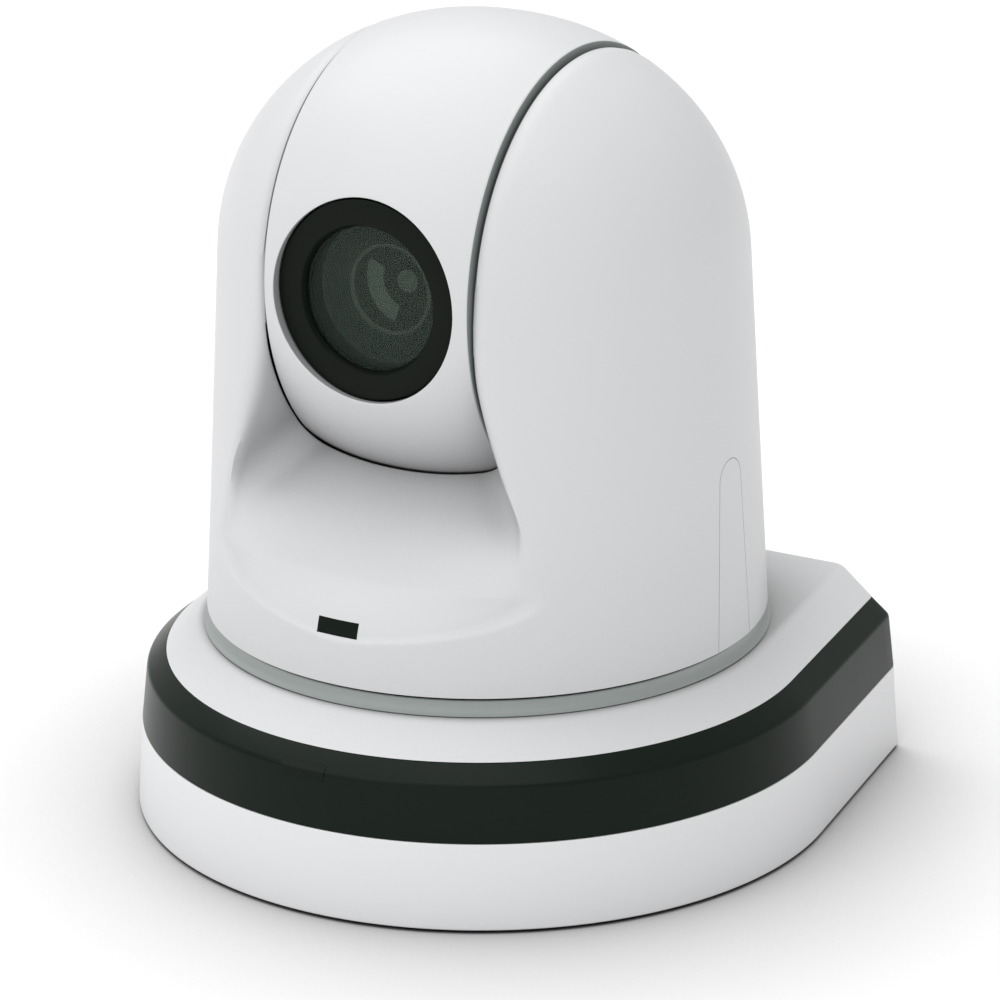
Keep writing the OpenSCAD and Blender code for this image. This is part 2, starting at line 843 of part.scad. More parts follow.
// Lens group in its carrier, which slides on the two guide rods
module lens_group(place, thick, lens_r) {
    along_lens() translate([0, 0, place]) {
        color([0.2, 0.2, 0.22]) difference() {
            cylinder(r = group_r, h = thick, $fn = fine);
            for (s = [-1, 1]) translate([s * rod_x, 0, -1]) cylinder(r = rod_hole, h = thick + 2, $fn = mid);
            translate([0, 0, -1]) cylinder(r = lens_r, h = thick + 2, $fn = fine);
        }
        color(glass_tint) translate([0, 0, 0.5]) cylinder(r = lens_r, h = thick - 1, $fn = fine);
    }
}

module zoom_group() {
    lens_group(zoom_y, 6, 10.5);
}

module focus_group() {
    lens_group(focus_y, 4.5, 9);
}

base_housing();
base_band();
base_deck();
collar_ring();
bottom_plate();
tripod_insert();
foot_pads();
plate_screws();
connector_panel();
dc_jack();
lan_jack();
serial_jack();
audio_jacks();
usb_port();
hdmi_port();
sdi_connector();
main_board();
board_spacers();
remote_window();
pan_frame();
frame_posts();
pan_bearing();
pan_motor();
pan_pinion();
pan_shaft();
pan_gear();
yoke_base();
yoke_left();
yoke_right();
head_front_cover();
head_rear_cover();
side_insert_left();
side_insert_right();
status_lamp();
tilt_bearing_left();
tilt_bearing_right();
tilt_motor();
head_board();
cover_screws();
tilt_pinion();
block_front_shell();
block_rear_shell();
lens_bezel();
lens_glass();
lens_barrel();
front_element();
lens_frame();
block_screws();
tilt_shaft_left();
tilt_shaft_right();
tilt_gear();
guide_rods();
sensor_board();
image_sensor();
zoom_group();
focus_group();
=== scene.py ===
# %% [markdown]
# # A pan, tilt and zoom camera
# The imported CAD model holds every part, joint and size. This script keeps it as a fixed frame and gives it
# its looks: smooth moulded shells, a lens with depth, and a finish for each material. Lengths are in metres.
# The lens looks along -Y and the pan axis is the z axis.

# %% load the frame
import json
import math

import bpy
import numpy as np
from mathutils import Matrix, Vector


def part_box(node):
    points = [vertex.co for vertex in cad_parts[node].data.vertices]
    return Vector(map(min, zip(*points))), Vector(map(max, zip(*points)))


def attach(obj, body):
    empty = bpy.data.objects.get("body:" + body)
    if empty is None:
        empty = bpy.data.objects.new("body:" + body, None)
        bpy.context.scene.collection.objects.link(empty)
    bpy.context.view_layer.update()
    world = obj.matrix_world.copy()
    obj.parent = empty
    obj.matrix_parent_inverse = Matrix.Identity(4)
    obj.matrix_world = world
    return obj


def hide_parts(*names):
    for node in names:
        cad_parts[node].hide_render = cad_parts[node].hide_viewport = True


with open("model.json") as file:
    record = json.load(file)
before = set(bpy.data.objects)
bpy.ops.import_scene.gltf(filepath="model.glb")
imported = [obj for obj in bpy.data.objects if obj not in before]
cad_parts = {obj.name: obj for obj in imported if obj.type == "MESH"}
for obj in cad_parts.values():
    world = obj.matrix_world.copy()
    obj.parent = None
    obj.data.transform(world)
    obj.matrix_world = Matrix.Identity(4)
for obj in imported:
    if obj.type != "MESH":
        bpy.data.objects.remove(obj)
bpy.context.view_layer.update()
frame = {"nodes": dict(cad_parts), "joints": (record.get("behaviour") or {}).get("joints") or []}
nodes = frame["nodes"]
joint = {j["name"]: j for j in frame["joints"]}
MM = 0.001

# %% [markdown]
# ## Driving sizes
# Positions come from the frame, so the looks follow the CAD model. The few numbers of our own are the
# roundings, walls and fine steps that the CAD model leaves out.

# %% sizes taken from the frame
base_low, base_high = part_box("base_housing")
band_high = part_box("base_band")[1]
deck_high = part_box("base_deck")[1]
collar_low, collar_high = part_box("collar_ring")
BASE_R = base_high.x
BASE_REAR = base_high.y
SEAM_Z = base_high.z
BAND_TOP = band_high.z
DECK_Z = deck_high.z
SEAM_R = BASE_R - 1.5 * MM
EDGE_R = BASE_R - 3 * MM
EDGE_Z = BAND_TOP - 3.5 * MM
BEVEL_R = BASE_R - 7.4 * MM
DECK_R = BASE_R - 15.15 * MM
SIDE_TAPER = math.radians(7.33)
WALL = 2.5 * MM
PARTING = 0.05 * MM

FOOT_SKIRT = 0.4 * MM
HEAD_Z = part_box("head_front_cover")[0].z - FOOT_SKIRT
HEAD_R = 63.0 * MM
TILT_Z = joint["tilt"]["pos_m"][2]
DOME_A = 59.6 * MM
DOME_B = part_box("block_rear_shell")[1].y
DOME_FULL = 2.13
GAP = 0.6 * MM
BLOCK_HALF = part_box("block_front_shell")[1].x
SLOT_HALF = BLOCK_HALF + GAP
print("tilt axis at", round(TILT_Z, 4), "dome", DOME_A, round(DOME_B, 5), "slot", round(SLOT_HALF, 4))

# %% [markdown]
# ## Tools of the bench
# A moulded shell is a sheet laid over a form. The sheet starts as a grid primitive, and each of its vertices
# is moved to the place that a rule gives for it, as cloth is pulled over a buck. Modifiers then give it
# thickness, and the bevel tool breaks its sharp edges.

# %% small helpers
def fresh():
    """Nothing selected and nothing active, so an operator acts only on what comes next."""
    if bpy.context.mode != "OBJECT":
        bpy.ops.object.mode_set(mode="OBJECT")
    bpy.ops.object.select_all(action="DESELECT")
    bpy.context.view_layer.objects.active = None


def hold(obj):
    """Only this piece is selected and active."""
    fresh()
    obj.select_set(True)
    bpy.context.view_layer.objects.active = obj


def coords(obj):
    """The places of a mesh's vertices, one row each."""
    co = np.empty(len(obj.data.vertices) * 3, np.float32)
    obj.data.vertices.foreach_get("co", co)
    return co.reshape(-1, 3).astype(float)


def set_coords(obj, points):
    obj.data.vertices.foreach_set("co", np.asarray(points, np.float32).ravel())
    obj.data.update()


def edited(obj, operator):
    """Runs one edit mode operator on the whole mesh."""
    hold(obj)
    bpy.ops.object.mode_set(mode="EDIT")
    bpy.ops.mesh.select_all(action="SELECT")
    operator()
    bpy.ops.object.mode_set(mode="OBJECT")


def weld(obj, gap=2e-6):
    """Merges the seam of a wrapped sheet."""
    edited(obj, lambda: bpy.ops.mesh.remove_doubles(threshold=gap))


def sheet_over(name, cols, rows, place):
    """A grid primitive laid over a form: place turns column and row numbers into points."""
    fresh()
    bpy.ops.mesh.primitive_grid_add(x_subdivisions=cols, y_subdivisions=rows, size=2, location=(0, 0, 0))
    obj = bpy.context.active_object
    obj.name = name
    uv = (coords(obj)[:, :2] + 1) / 2
    column = np.rint(uv[:, 0] * cols).astype(int)
    row = np.rint(uv[:, 1] * rows).astype(int)
    set_coords(obj, place(column, row))
    return obj


def apply_modifiers(obj):
    hold(obj)
    for modifier in list(obj.modifiers):
        bpy.ops.object.modifier_apply(modifier=modifier.name)


def smooth(obj, angle=35):
    hold(obj)
    bpy.ops.object.shade_smooth_by_angle(angle=math.radians(angle))


def face_out(obj, centre):
    """Turns an open sheet so that its faces point away from a place inside it."""
    centre = Vector(centre)
    score = sum((f.center - centre).dot(f.normal) * f.area for f in obj.data.polygons)
    if score < 0:
        obj.data.flip_normals()


def recalculate(obj):
    """Turns the faces of a closed piece outwards."""
    edited(obj, lambda: bpy.ops.mesh.normals_make_consistent(inside=False))


def thicken(obj, thickness):
    """Gives an open sheet a wall on its inner side."""
    solid = obj.modifiers.new("wall", "SOLIDIFY")
    solid.thickness = thickness
    solid.offset = -1
    solid.use_even_offset = False
    apply_modifiers(obj)


def join(parts, name):
    """Makes one piece of several."""
    fresh()
    for part in parts:
        part.select_set(True)
    bpy.context.view_layer.objects.active = parts[0]
    bpy.ops.object.join()
    parts[0].name = name
    return parts[0]


def copy_of(obj, name):
    twin = obj.copy()
    twin.data = obj.data.copy()
    twin.name = name
    bpy.context.scene.collection.objects.link(twin)
    return twin


def cut(obj, point, normal, keep_low=True, faces=None):
    """Bisects with a plane. With keep_low the side that the normal points to is removed."""
    hold(obj)
    bpy.ops.object.mode_set(mode="EDIT")
    bpy.ops.mesh.select_all(action="SELECT" if faces is None else "DESELECT")
    if faces is not None:
        bpy.ops.object.mode_set(mode="OBJECT")
        for face in obj.data.polygons:
            face.select = bool(faces(face.center))
        bpy.ops.object.mode_set(mode="EDIT")
    bpy.ops.mesh.bisect(plane_co=point, plane_no=normal, clear_outer=keep_low, threshold=1e-6)
    bpy.ops.object.mode_set(mode="OBJECT")


def drop_faces(obj, inside):
    """Deletes the faces whose centres pass the test."""
    hold(obj)
    bpy.ops.object.mode_set(mode="EDIT")
    bpy.ops.mesh.select_all(action="DESELECT")
    bpy.ops.object.mode_set(mode="OBJECT")
    for face in obj.data.polygons:
        face.select = bool(inside(face.center))
    bpy.ops.object.mode_set(mode="EDIT")
    bpy.ops.mesh.delete(type="FACE")
    bpy.ops.object.mode_set(mode="OBJECT")


def bevel_edges(obj, width, segments, wanted):
    """Bevels the sharp edges for which wanted(first end, second end) is true."""
    hold(obj)
    bpy.ops.object.mode_set(mode="EDIT")
    bpy.ops.mesh.select_mode(type="EDGE")
    bpy.ops.mesh.select_all(action="DESELECT")
    bpy.ops.mesh.edges_select_sharp(sharpness=math.radians(40))
    bpy.ops.object.mode_set(mode="OBJECT")
    vertices = obj.data.vertices
    found = 0
    for edge in obj.data.edges:
        if edge.select:
            edge.select = bool(wanted(vertices[edge.vertices[0]].co, vertices[edge.vertices[1]].co))
            found += edge.select
    bpy.ops.object.mode_set(mode="EDIT")
    bpy.ops.mesh.bevel(offset=width, segments=segments, profile=0.6, clamp_overlap=False)
    bpy.ops.mesh.select_mode(type="VERT")
    bpy.ops.object.mode_set(mode="OBJECT")
    return found


def finish_piece(obj, body, replaced, material):
    """Puts a piece on its body, hides the CAD nodes it stands for, and gives it its finish."""
    obj.data.materials.clear()
    obj.data.materials.append(material)
    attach(obj, body)
    if replaced:
        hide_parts(*replaced)
    print(obj.name, len(obj.data.polygons), "faces on", body)


def paint(obj, material, wanted):
    """Gives the faces that pass the test a second finish; in this script that is always painted shade in a
    gap.
    """
    obj.data.materials.append(material)
    for face in obj.data.polygons:
        if wanted(face):
            face.material_index = 1


# %% [markdown]
# ## Finishes
# Each finish is a small node tree on Object coordinates, so it stays put when a part turns. The white
# plastic has a fine spark-eroded grain and a very slight mottling. Values that are the same all over are set
# on the shader's own socket.

# %% finish builder
def finish(name, color, roughness, grain=None, mottling=0.03, metallic=0.0, specular=0.5, alpha=1.0):
    """Principled material with fine grain in its bump and a slight mottling in colour and roughness."""
    material = bpy.data.materials.new(name)
    material.use_nodes = True
    tree = material.node_tree
    shader = tree.nodes["Principled BSDF"]
    shader.inputs["Metallic"].default_value = metallic
    shader.inputs["Specular IOR Level"].default_value = specular
    shader.inputs["Alpha"].default_value = alpha
    place = tree.nodes.new("ShaderNodeTexCoord")
    clouds = tree.nodes.new("ShaderNodeTexNoise")
    clouds.inputs["Scale"].default_value = 60
    clouds.inputs["Detail"].default_value = 4
    tree.links.new(place.outputs["Object"], clouds.inputs["Vector"])
    tint = tree.nodes.new("ShaderNodeMix")
    tint.data_type = "RGBA"
    tint.inputs[6].default_value = (*[c * (1 - mottling) for c in color], 1)
    tint.inputs[7].default_value = (*[min(1, c * (1 + mottling)) for c in color], 1)
    tree.links.new(clouds.outputs["Fac"], tint.inputs["Factor"])
    tree.links.new(tint.outputs[2], shader.inputs["Base Color"])
    rough = tree.nodes.new("ShaderNodeMapRange")
    rough.inputs["To Min"].default_value = roughness * 0.88
    rough.inputs["To Max"].default_value = min(1, roughness * 1.12)
    tree.links.new(clouds.outputs["Fac"], rough.inputs["Value"])
    tree.links.new(rough.outputs["Result"], shader.inputs["Roughness"])
    if grain:
        size, strength, depth = grain
        grit = tree.nodes.new("ShaderNodeTexNoise")
        grit.inputs["Scale"].default_value = 1 / size
        grit.inputs["Detail"].default_value = 3
        tree.links.new(place.outputs["Object"], grit.inputs["Vector"])
        bump = tree.nodes.new("ShaderNodeBump")
        bump.inputs["Strength"].default_value = strength
        bump.inputs["Distance"].default_value = depth
        tree.links.new(grit.outputs["Fac"], bump.inputs["Height"])
        tree.links.new(bump.outputs["Normal"], shader.inputs["Normal"])
    return material


# %% painted shade in hollows
def painted_hollow_shade(material, distance, depth):
    """Painted shade: darkens a finish's colour where its surroundings close in, as shade falls in a hollow.
    """
    tree = material.node_tree
    shader = tree.nodes["Principled BSDF"]
    color = shader.inputs["Base Color"].links[0].from_socket
    hollow = tree.nodes.new("ShaderNodeAmbientOcclusion")
    hollow.inputs["Distance"].default_value = distance
    hollow.samples = 12
    level = tree.nodes.new("ShaderNodeMapRange")
    level.inputs["From Min"].default_value = 0.05
    level.inputs["To Min"].default_value = 1 - depth
    tree.links.new(hollow.outputs["AO"], level.inputs["Value"])
    dim = tree.nodes.new("ShaderNodeVectorMath")
    dim.operation = "SCALE"
    tree.links.new(color, dim.inputs[0])
    tree.links.new(level.outputs["Result"], dim.inputs["Scale"])
    tree.links.new(dim.outputs["Vector"], shader.inputs["Base Color"])


# %% the finishes of this camera
MOULDED = (0.35 * MM, 0.12, 0.02 * MM)
SATIN = (0.3 * MM, 0.1, 0.02 * MM)
# Two copies of one white plastic, painted for how the light falls on them: base_white_lit on the housing is
# lighter, white_plastic on the deck, head and block is darker.
white_plastic = finish("white_plastic", (0.63, 0.635, 0.645), 0.42, MOULDED, 0.006)
base_white_lit = finish("base_white_lit", (0.735, 0.74, 0.75), 0.42, MOULDED, 0.006)
# Painted shade in the hollows of the head, the block and the deck.
painted_hollow_shade(white_plastic, 42 * MM, 1.0)
band_black = finish("band_black", (0.0055, 0.0105, 0.0065), 0.29, SATIN, 0.08, specular=0.1)
collar_grey = finish("collar_grey", (0.33, 0.36, 0.35), 0.42, MOULDED, 0.02)
bezel_black = finish("bezel_black", (0.004, 0.0065, 0.0038), 0.5, (0.25 * MM, 0.15, 0.02 * MM), 0.06,
                     specular=0.1)
window_black = finish("window_black", (0.005, 0.009, 0.006), 0.3, None, 0.05, specular=0.1)
panel_dark = finish("panel_dark", (0.03, 0.031, 0.033), 0.5, (0.5 * MM, 0.3, 0.04 * MM), 0.08)
jack_black = finish("jack_black", (0.012, 0.012, 0.013), 0.38, (0.3 * MM, 0.15, 0.02 * MM), 0.05)
plated = finish("plated_metal", (0.62, 0.62, 0.61), 0.24, (0.6 * MM, 0.06, 0.01 * MM), 0.05, metallic=1.0)
sheet_steel = finish("sheet_steel", (0.55, 0.56, 0.57), 0.33, (0.8 * MM, 0.1, 0.02 * MM), 0.06, metallic=1.0)
cast_metal = finish("cast_metal", (0.42, 0.43, 0.45), 0.5, (1.2 * MM, 0.3, 0.06 * MM), 0.08, metallic=1.0)
rubber = finish("foot_rubber", (0.02, 0.02, 0.021), 0.8, (0.5 * MM, 0.4, 0.05 * MM), 0.1, specular=0.3)
solder_mask = finish("solder_mask", (0.01, 0.09, 0.035), 0.35, (1.5 * MM, 0.1, 0.02 * MM), 0.1)
motor_case = finish("motor_case", (0.05, 0.052, 0.06), 0.4, (0.8 * MM, 0.15, 0.02 * MM), 0.06, metallic=0.6)
brass = finish("machined_brass", (0.62, 0.45, 0.17), 0.28, (0.6 * MM, 0.1, 0.01 * MM), 0.06, metallic=1.0)
gear_resin = finish("gear_resin", (0.72, 0.68, 0.56), 0.45, (0.8 * MM, 0.1, 0.02 * MM), 0.03)
# Painted shade for the seam: grey on the block's ends, so that the gap beside the arms looks dark.
seam_shade_grey = finish("seam_shade_grey", (0.19, 0.215, 0.205), 0.6, (0.4 * MM, 0.2, 0.02 * MM), 0.05, specular=0.3)
# Painted shade for the slot beside the block and for the collar's top under the head.
gap_shade_grey = finish("gap_shade_grey", (0.045, 0.05, 0.05), 0.6, (0.4 * MM, 0.2, 0.02 * MM), 0.05, specular=0.3)
barrel_black = finish("barrel_black", (0.009, 0.010, 0.0095), 0.55, (0.4 * MM, 0.3, 0.03 * MM), 0.05)
print("finishes", len(bpy.data.materials))


# %% glass for the lens
def coated_glass(name, color, cover):
    """Glass that lets most light through, with the dark green sheen of its coating."""
    glass = finish(name, color, 0.04, None, 0.02, specular=0.28, alpha=cover)
    glass.node_tree.nodes["Principled BSDF"].inputs["IOR"].default_value = 1.45
    return glass


port_glass = coated_glass("port_glass", (0.022, 0.034, 0.025), 0.3)
element_glass = coated_glass("element_glass", (0.024, 0.038, 0.028), 0.1)


def painted_lens_glow(name, level):
    """Painted glow: a dark finish that gives off a faint even light of its own, in place of the light that a
    lens's many coated faces pass about inside it.
    """
    tone = finish(name, (0.006, 0.009, 0.007), 0.5, None, 0.05, specular=0.1)
    shader = tone.node_tree.nodes["Principled BSDF"]
    shader.inputs["Emission Color"].default_value = (0.72, 1.0, 0.80, 1)
    shader.inputs["Emission Strength"].default_value = level
    return tone


# Painted glow for the inside of the lens: these finishes give off light though nothing there is a lamp.
lens_deep_glow = painted_lens_glow("lens_deep_glow", 0.026)
lens_rim_glow = painted_lens_glow("lens_rim_glow", 0.085)
lens_blade_glow = painted_lens_glow("lens_blade_glow", 0.12)
lens_spot_glow = painted_lens_glow("lens_spot_glow", 0.1)

# %% [markdown]
# ## The base
# The housing, band and deck are three mouldings with one plan: a round front, straight sides that close in,
# and a flat rear. Each is a closed profile carried round that plan, with every edge broken by a small radius,
# because a moulded edge is never sharp and its radius is what catches the light.

# %% plan of the base
ARC_STEPS, SIDE_STEPS, CORNER_STEPS, REAR_STEPS = 150, 12, 6, 24
REAR_CORNER = 2.2 * MM


def base_plan(radius, rear):
    """Points round the base for one radius, from the middle of the rear round by +X, as two columns."""
    sin_t = math.sin(SIDE_TAPER)
    cos_t = math.cos(SIDE_TAPER)
    corner_x = (radius - rear * sin_t) / cos_t
    side_way = np.array([-sin_t, cos_t])
    corner = np.array([corner_x, rear])
    a = corner + np.array([-REAR_CORNER, 0])
    b = corner - side_way * REAR_CORNER
    middle = np.array([0, rear])
    touch = np.array([radius * cos_t, radius * sin_t])
    t = np.linspace(0, 1, CORNER_STEPS + 1)[:, None]
    rear_half = middle + (a - middle) * np.linspace(0, 1, REAR_STEPS // 2 + 1)[:, None]
    bend = (1 - t) ** 2 * a + 2 * t * (1 - t) * corner + t ** 2 * b
    side = b + (touch - b) * np.linspace(0, 1, SIDE_STEPS + 1)[:, None]
    angle = np.linspace(SIDE_TAPER, -math.pi / 2, ARC_STEPS // 2 + 1)
    arc = np.stack([radius * np.cos(angle), radius * np.sin(angle)], axis=1)
    half = np.concatenate([rear_half[:-1], bend[:-1], side[:-1], arc])
    mirrored = half[-2::-1] * np.array([-1, 1])
    return np.concatenate([half, mirrored])


PLAN_COUNT = len(base_plan(BASE_R, BASE_REAR)) - 1
print("plan points", PLAN_COUNT)


# %% profiles with broken edges
def broken(keys, closed=True, steps=4):
    """Key rows with every corner rounded: each key is (its values, the radius of its corner)."""
    rows = []
    count = len(keys)
    for i, (point, radius) in enumerate(keys):
        point = np.array(point, float)
        ends = not closed and i in (0, count - 1)
        if radius <= 0 or ends:
            rows.append(point)
            continue
        before = np.array(keys[i - 1][0], float) - point
        after = np.array(keys[(i + 1) % count][0], float) - point
        start = point + before * min(0.45, radius / np.linalg.norm(before))
        end = point + after * min(0.45, radius / np.linalg.norm(after))
        for t in np.linspace(0, 1, steps + 1):
            rows.append((1 - t) ** 2 * start + 2 * t * (1 - t) * point + t ** 2 * end)
    if closed:
        rows.append(rows[0])
    return np.array(rows)


def carried_round_plan(name, profile):
    """A closed profile of (radius, height, rear) rows carried round the base's plan."""
    loops = np.array([np.column_stack([base_plan(r, rear), np.full(PLAN_COUNT + 1, z)])
                      for r, z, rear in profile])
    obj = sheet_over(name, PLAN_COUNT, len(profile) - 1, lambda c, r: loops[r, c])
    weld(obj)
    recalculate(obj)
    return obj


def opened_for_bay(obj):
    """Cuts the rear window for the connector bay: a block stands through the wall and is taken away."""
    low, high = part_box("connector_panel")
    inset = 2 * MM
    fresh()
    bpy.ops.mesh.primitive_cube_add(size=1, location=(0, BASE_REAR, (low.z + high.z) / 2))
    cutter = bpy.context.active_object
    cutter.scale = (high.x - low.x - 2 * inset, 0.02, high.z - low.z - 1.5 * inset)
    bpy.ops.object.transform_apply(scale=True)
    carve = obj.modifiers.new("bay", "BOOLEAN")
    carve.object = cutter
    carve.operation = "DIFFERENCE"
    carve.solver = "EXACT"
    apply_modifiers(obj)
    bpy.data.objects.remove(cutter)


# %% housing, band and deck
SOFT = 0.5 * MM
REAR_IN = BASE_REAR - WALL
housing = carried_round_plan("housing_shell", broken([
    ((BASE_R, base_low.z, BASE_REAR), SOFT), ((SEAM_R, SEAM_Z - PARTING, BASE_REAR), 0.25 * MM),
    ((SEAM_R - WALL, SEAM_Z - PARTING, REAR_IN), 0), ((BASE_R - WALL, base_low.z, REAR_IN), 0)]))
band = carried_round_plan("band_shell", broken([
    ((SEAM_R, SEAM_Z + PARTING, BASE_REAR), 0.25 * MM), ((EDGE_R, EDGE_Z, BASE_REAR), 0.7 * MM),
    ((BEVEL_R, BAND_TOP - PARTING, BASE_REAR), 0.2 * MM),
    ((BEVEL_R - WALL, BAND_TOP - PARTING, REAR_IN), 0), ((SEAM_R - WALL, SEAM_Z + PARTING, REAR_IN), 0)]))
for shell in (housing, band):
    opened_for_bay(shell)
    smooth(shell)


def deck_place():
    """The deck's loops: up the slope, over the edge, in to the round hole, and back under."""
    slope = broken([((BEVEL_R - WALL, BAND_TOP + PARTING, REAR_IN), 0),
                    ((BEVEL_R, BAND_TOP + PARTING, BASE_REAR), 0.2 * MM),
                    ((DECK_R, DECK_Z, BASE_REAR), 1.3 * MM),
                    ((DECK_R - 4 * MM, DECK_Z, BASE_REAR - 4 * MM), 0)], closed=False)
    loops = [np.column_stack([base_plan(r, rear), np.full(PLAN_COUNT + 1, z)]) for r, z, rear in slope]
    rim = loops[-1]
    angle = np.arctan2(rim[:, 1], rim[:, 0])
    hole_r = collar_high.x - 9 * MM
    hole = np.column_stack([hole_r * np.cos(angle), hole_r * np.sin(angle), rim[:, 2]])
    for t in np.linspace(0, 1, 7)[1:]:
        loops.append(rim + (hole - rim) * t)
    loops.append(hole - np.array([0, 0, WALL]))
    loops.append(loops[0])
    return np.array(loops)


deck_loops = deck_place()
deck = sheet_over("deck_shell", PLAN_COUNT, len(deck_loops) - 1, lambda c, r: deck_loops[r, c])
weld(deck)
recalculate(deck)
smooth(deck)
finish_piece(housing, "base", ["base_housing"], base_white_lit)
finish_piece(band, "base", ["base_band"], band_black)
finish_piece(deck, "base", ["base_deck"], white_plastic)


# %% [markdown]
# ## The collar
# The grey collar is a turned form: a low wall with a hollow at its foot. It could be cut from a cylinder,
# but a spin is the natural tool for it, so its profile is drawn once and spun round the pan axis. Its top
# faces get painted shade, as dark as the gap under the head.

# %% turned pieces
def turned(name, profile, steps, along_y=False, centre=(0, 0, 0)):
    """A profile of (radius, place along the axis) rows, spun a full turn about z, or about y."""
    fresh()
    bpy.ops.mesh.primitive_circle_add(vertices=len(profile), radius=MM, fill_type="NOTHING")
    obj = bpy.context.active_object
    obj.name = name
    flat = [(r, s, 0) if along_y else (r, 0, s) for r, s in profile]
    set_coords(obj, np.array(flat) + np.array(centre))
    on_axis = profile[0][0] == 0 and profile[-1][0] == 0
    bpy.ops.object.mode_set(mode="EDIT")
    if on_axis:
        bpy.ops.mesh.select_mode(type="EDGE")
        bpy.ops.mesh.select_all(action="DESELECT")
        bpy.ops.object.mode_set(mode="OBJECT")
        for edge in obj.data.edges:
            edge.select = set(edge.vertices) == {0, len(profile) - 1}
        bpy.ops.object.mode_set(mode="EDIT")
        bpy.ops.mesh.delete(type="EDGE")
        bpy.ops.mesh.select_mode(type="VERT")
    bpy.ops.mesh.select_all(action="SELECT")
    bpy.ops.mesh.spin(steps=steps, angle=math.tau, center=centre,
                      axis=(0, 1, 0) if along_y else (0, 0, 1))
    bpy.ops.mesh.select_all(action="SELECT")
    bpy.ops.mesh.remove_doubles(threshold=1e-6)
    bpy.ops.mesh.normals_make_consistent(inside=False)
    bpy.ops.object.mode_set(mode="OBJECT")
    return obj


# %% collar
COLLAR_TOP = collar_high.z - 0.7 * MM
COLLAR_FOOT_R = collar_high.x - 0.9 * MM
COLLAR_IN_R = COLLAR_FOOT_R - 8 * MM
COLLAR_TOP_R = HEAD_R - 1.2 * MM


def collar_profile():
    """Section of the collar: its flat underside, the hollow at its foot, its wall and its top."""
    low = collar_low.z
    fillet = 2.0 * MM
    hollow = [(COLLAR_TOP_R + fillet - fillet * math.cos(t), low + 0.3 * MM + fillet - fillet * math.sin(t))
              for t in np.linspace(math.pi / 2, 0, 9)]
    rows = broken([((COLLAR_IN_R, low), 0), ((COLLAR_FOOT_R, low), 0), ((COLLAR_FOOT_R, low + 0.25 * MM), 0)],
                  closed=False)
    crown = broken([(hollow[-1], 0), ((COLLAR_TOP_R, COLLAR_TOP), 0.5 * MM), ((COLLAR_IN_R, COLLAR_TOP), 0)],
                   closed=False)
    return [tuple(p) for p in rows] + hollow[:-1] + [tuple(p) for p in crown]


collar = turned("collar_moulding", collar_profile(), 256)
smooth(collar)
finish_piece(collar, "base", ["collar_ring"], collar_grey)
# Painted shade on the collar's top, under the head.
paint(collar, gap_shade_grey, lambda f: f.center.z > COLLAR_TOP - 0.05 * MM)

# %% [markdown]
# ## The form of the head
# The head is a dome about the tilt axis, drawn down to a round bottom edge by straight walls that leave the
# dome without a kink. Between the arms a hollow is flared out, over an apron that slopes at 45 degrees. No
# primitive has this form, so it is written as a distance: below zero inside the moulding, above zero outside.
# Two forms are joined with a soft maximum, which leaves a fillet of a chosen size where they meet.

# %% the dome and its walls
SEAM_RING = DOME_B * math.sqrt(1 - (SLOT_HALF / DOME_A) ** DOME_FULL)
FLARE = 1.5
APRON_TOP_Y = -36.8 * MM
APRON_TOP_Z = TILT_Z - 39 * MM
BOTTOM_DROP = TILT_Z - HEAD_Z


def dome_radius(x):
    """The dome's radius about the tilt axis, at a distance along that axis."""
    return DOME_B * np.sqrt(np.maximum(0, 1 - np.minimum(1, np.abs(x) / DOME_A) ** DOME_FULL))


def wall_lines(count=181):
    """For each direction round the pan axis: the wall's slope, and how far up the dome it is tangent."""
    turn = np.linspace(0, math.pi / 2, count)[:, None]
    rise = np.linspace(0, 0.6 * DOME_B, 240)[None, :]
    low = np.zeros((count, 240))
    high = np.full((count, 240), 1.2 * DOME_A)
    for _ in range(40):
        middle = (low + high) / 2
        x = middle * np.sin(turn)
        outside = (middle * np.cos(turn)) ** 2 + rise ** 2 > dome_radius(x) ** 2
        high = np.where(outside, middle, high)
        low = np.where(outside, low, middle)
    slope = (low - HEAD_R) / (BOTTOM_DROP + rise)
    best = slope.argmax(axis=1)
    return turn[:, 0], slope.max(axis=1), rise[0, best]


TURNS, SLOPES, TANGENTS = wall_lines()
print("wall slope front", round(SLOPES[0], 4), "side", round(SLOPES[-1], 4))


def soft_max(a, b, size):
    """The larger of two values, with a smooth change from one to the other."""
    h = np.clip(0.5 + 0.5 * (a - b) / size, 0, 1)
    return b + (a - b) * h + size * h * (1 - h)


def smooth_step(value, low, high):
    """Runs smoothly from 0 at low to 1 at high."""
    t = np.clip((value - low) / (high - low), 0, 1)
    return t * t * (3 - 2 * t)


def outer_form(p):
    """Below zero inside the dome and its walls, before the hollow is taken out."""
    x, y, z = np.abs(p[..., 0]), np.abs(p[..., 1]), p[..., 2]
    turn = np.arctan2(x, y)
    slope = np.interp(turn, TURNS, SLOPES)
    tangent = np.interp(turn, TURNS, TANGENTS)
    wall = (np.hypot(x, y) - HEAD_R - slope * (z - HEAD_Z)) / np.sqrt(1 + slope ** 2)
    rise = z - TILT_Z
    share = np.maximum(x / DOME_A, 1e-6)
    level = share ** DOME_FULL + (y ** 2 + rise ** 2) / DOME_B ** 2 - 1
    slant_x = DOME_FULL / DOME_A * share ** (DOME_FULL - 1)
    slant_r = 2 * np.hypot(y, rise) / DOME_B ** 2
    dome = level / np.maximum(np.hypot(slant_x, slant_r), 1e-3)
    return np.where(rise > tangent, dome, wall)


# %% the hollow between the arms
TOE_FALL = 19 * MM
TOE_SLOPE = 0.37
WALL_CURVE = 17.3
CORNER_FALL = 53.5 * MM
CORNER_CLOSING = 11700


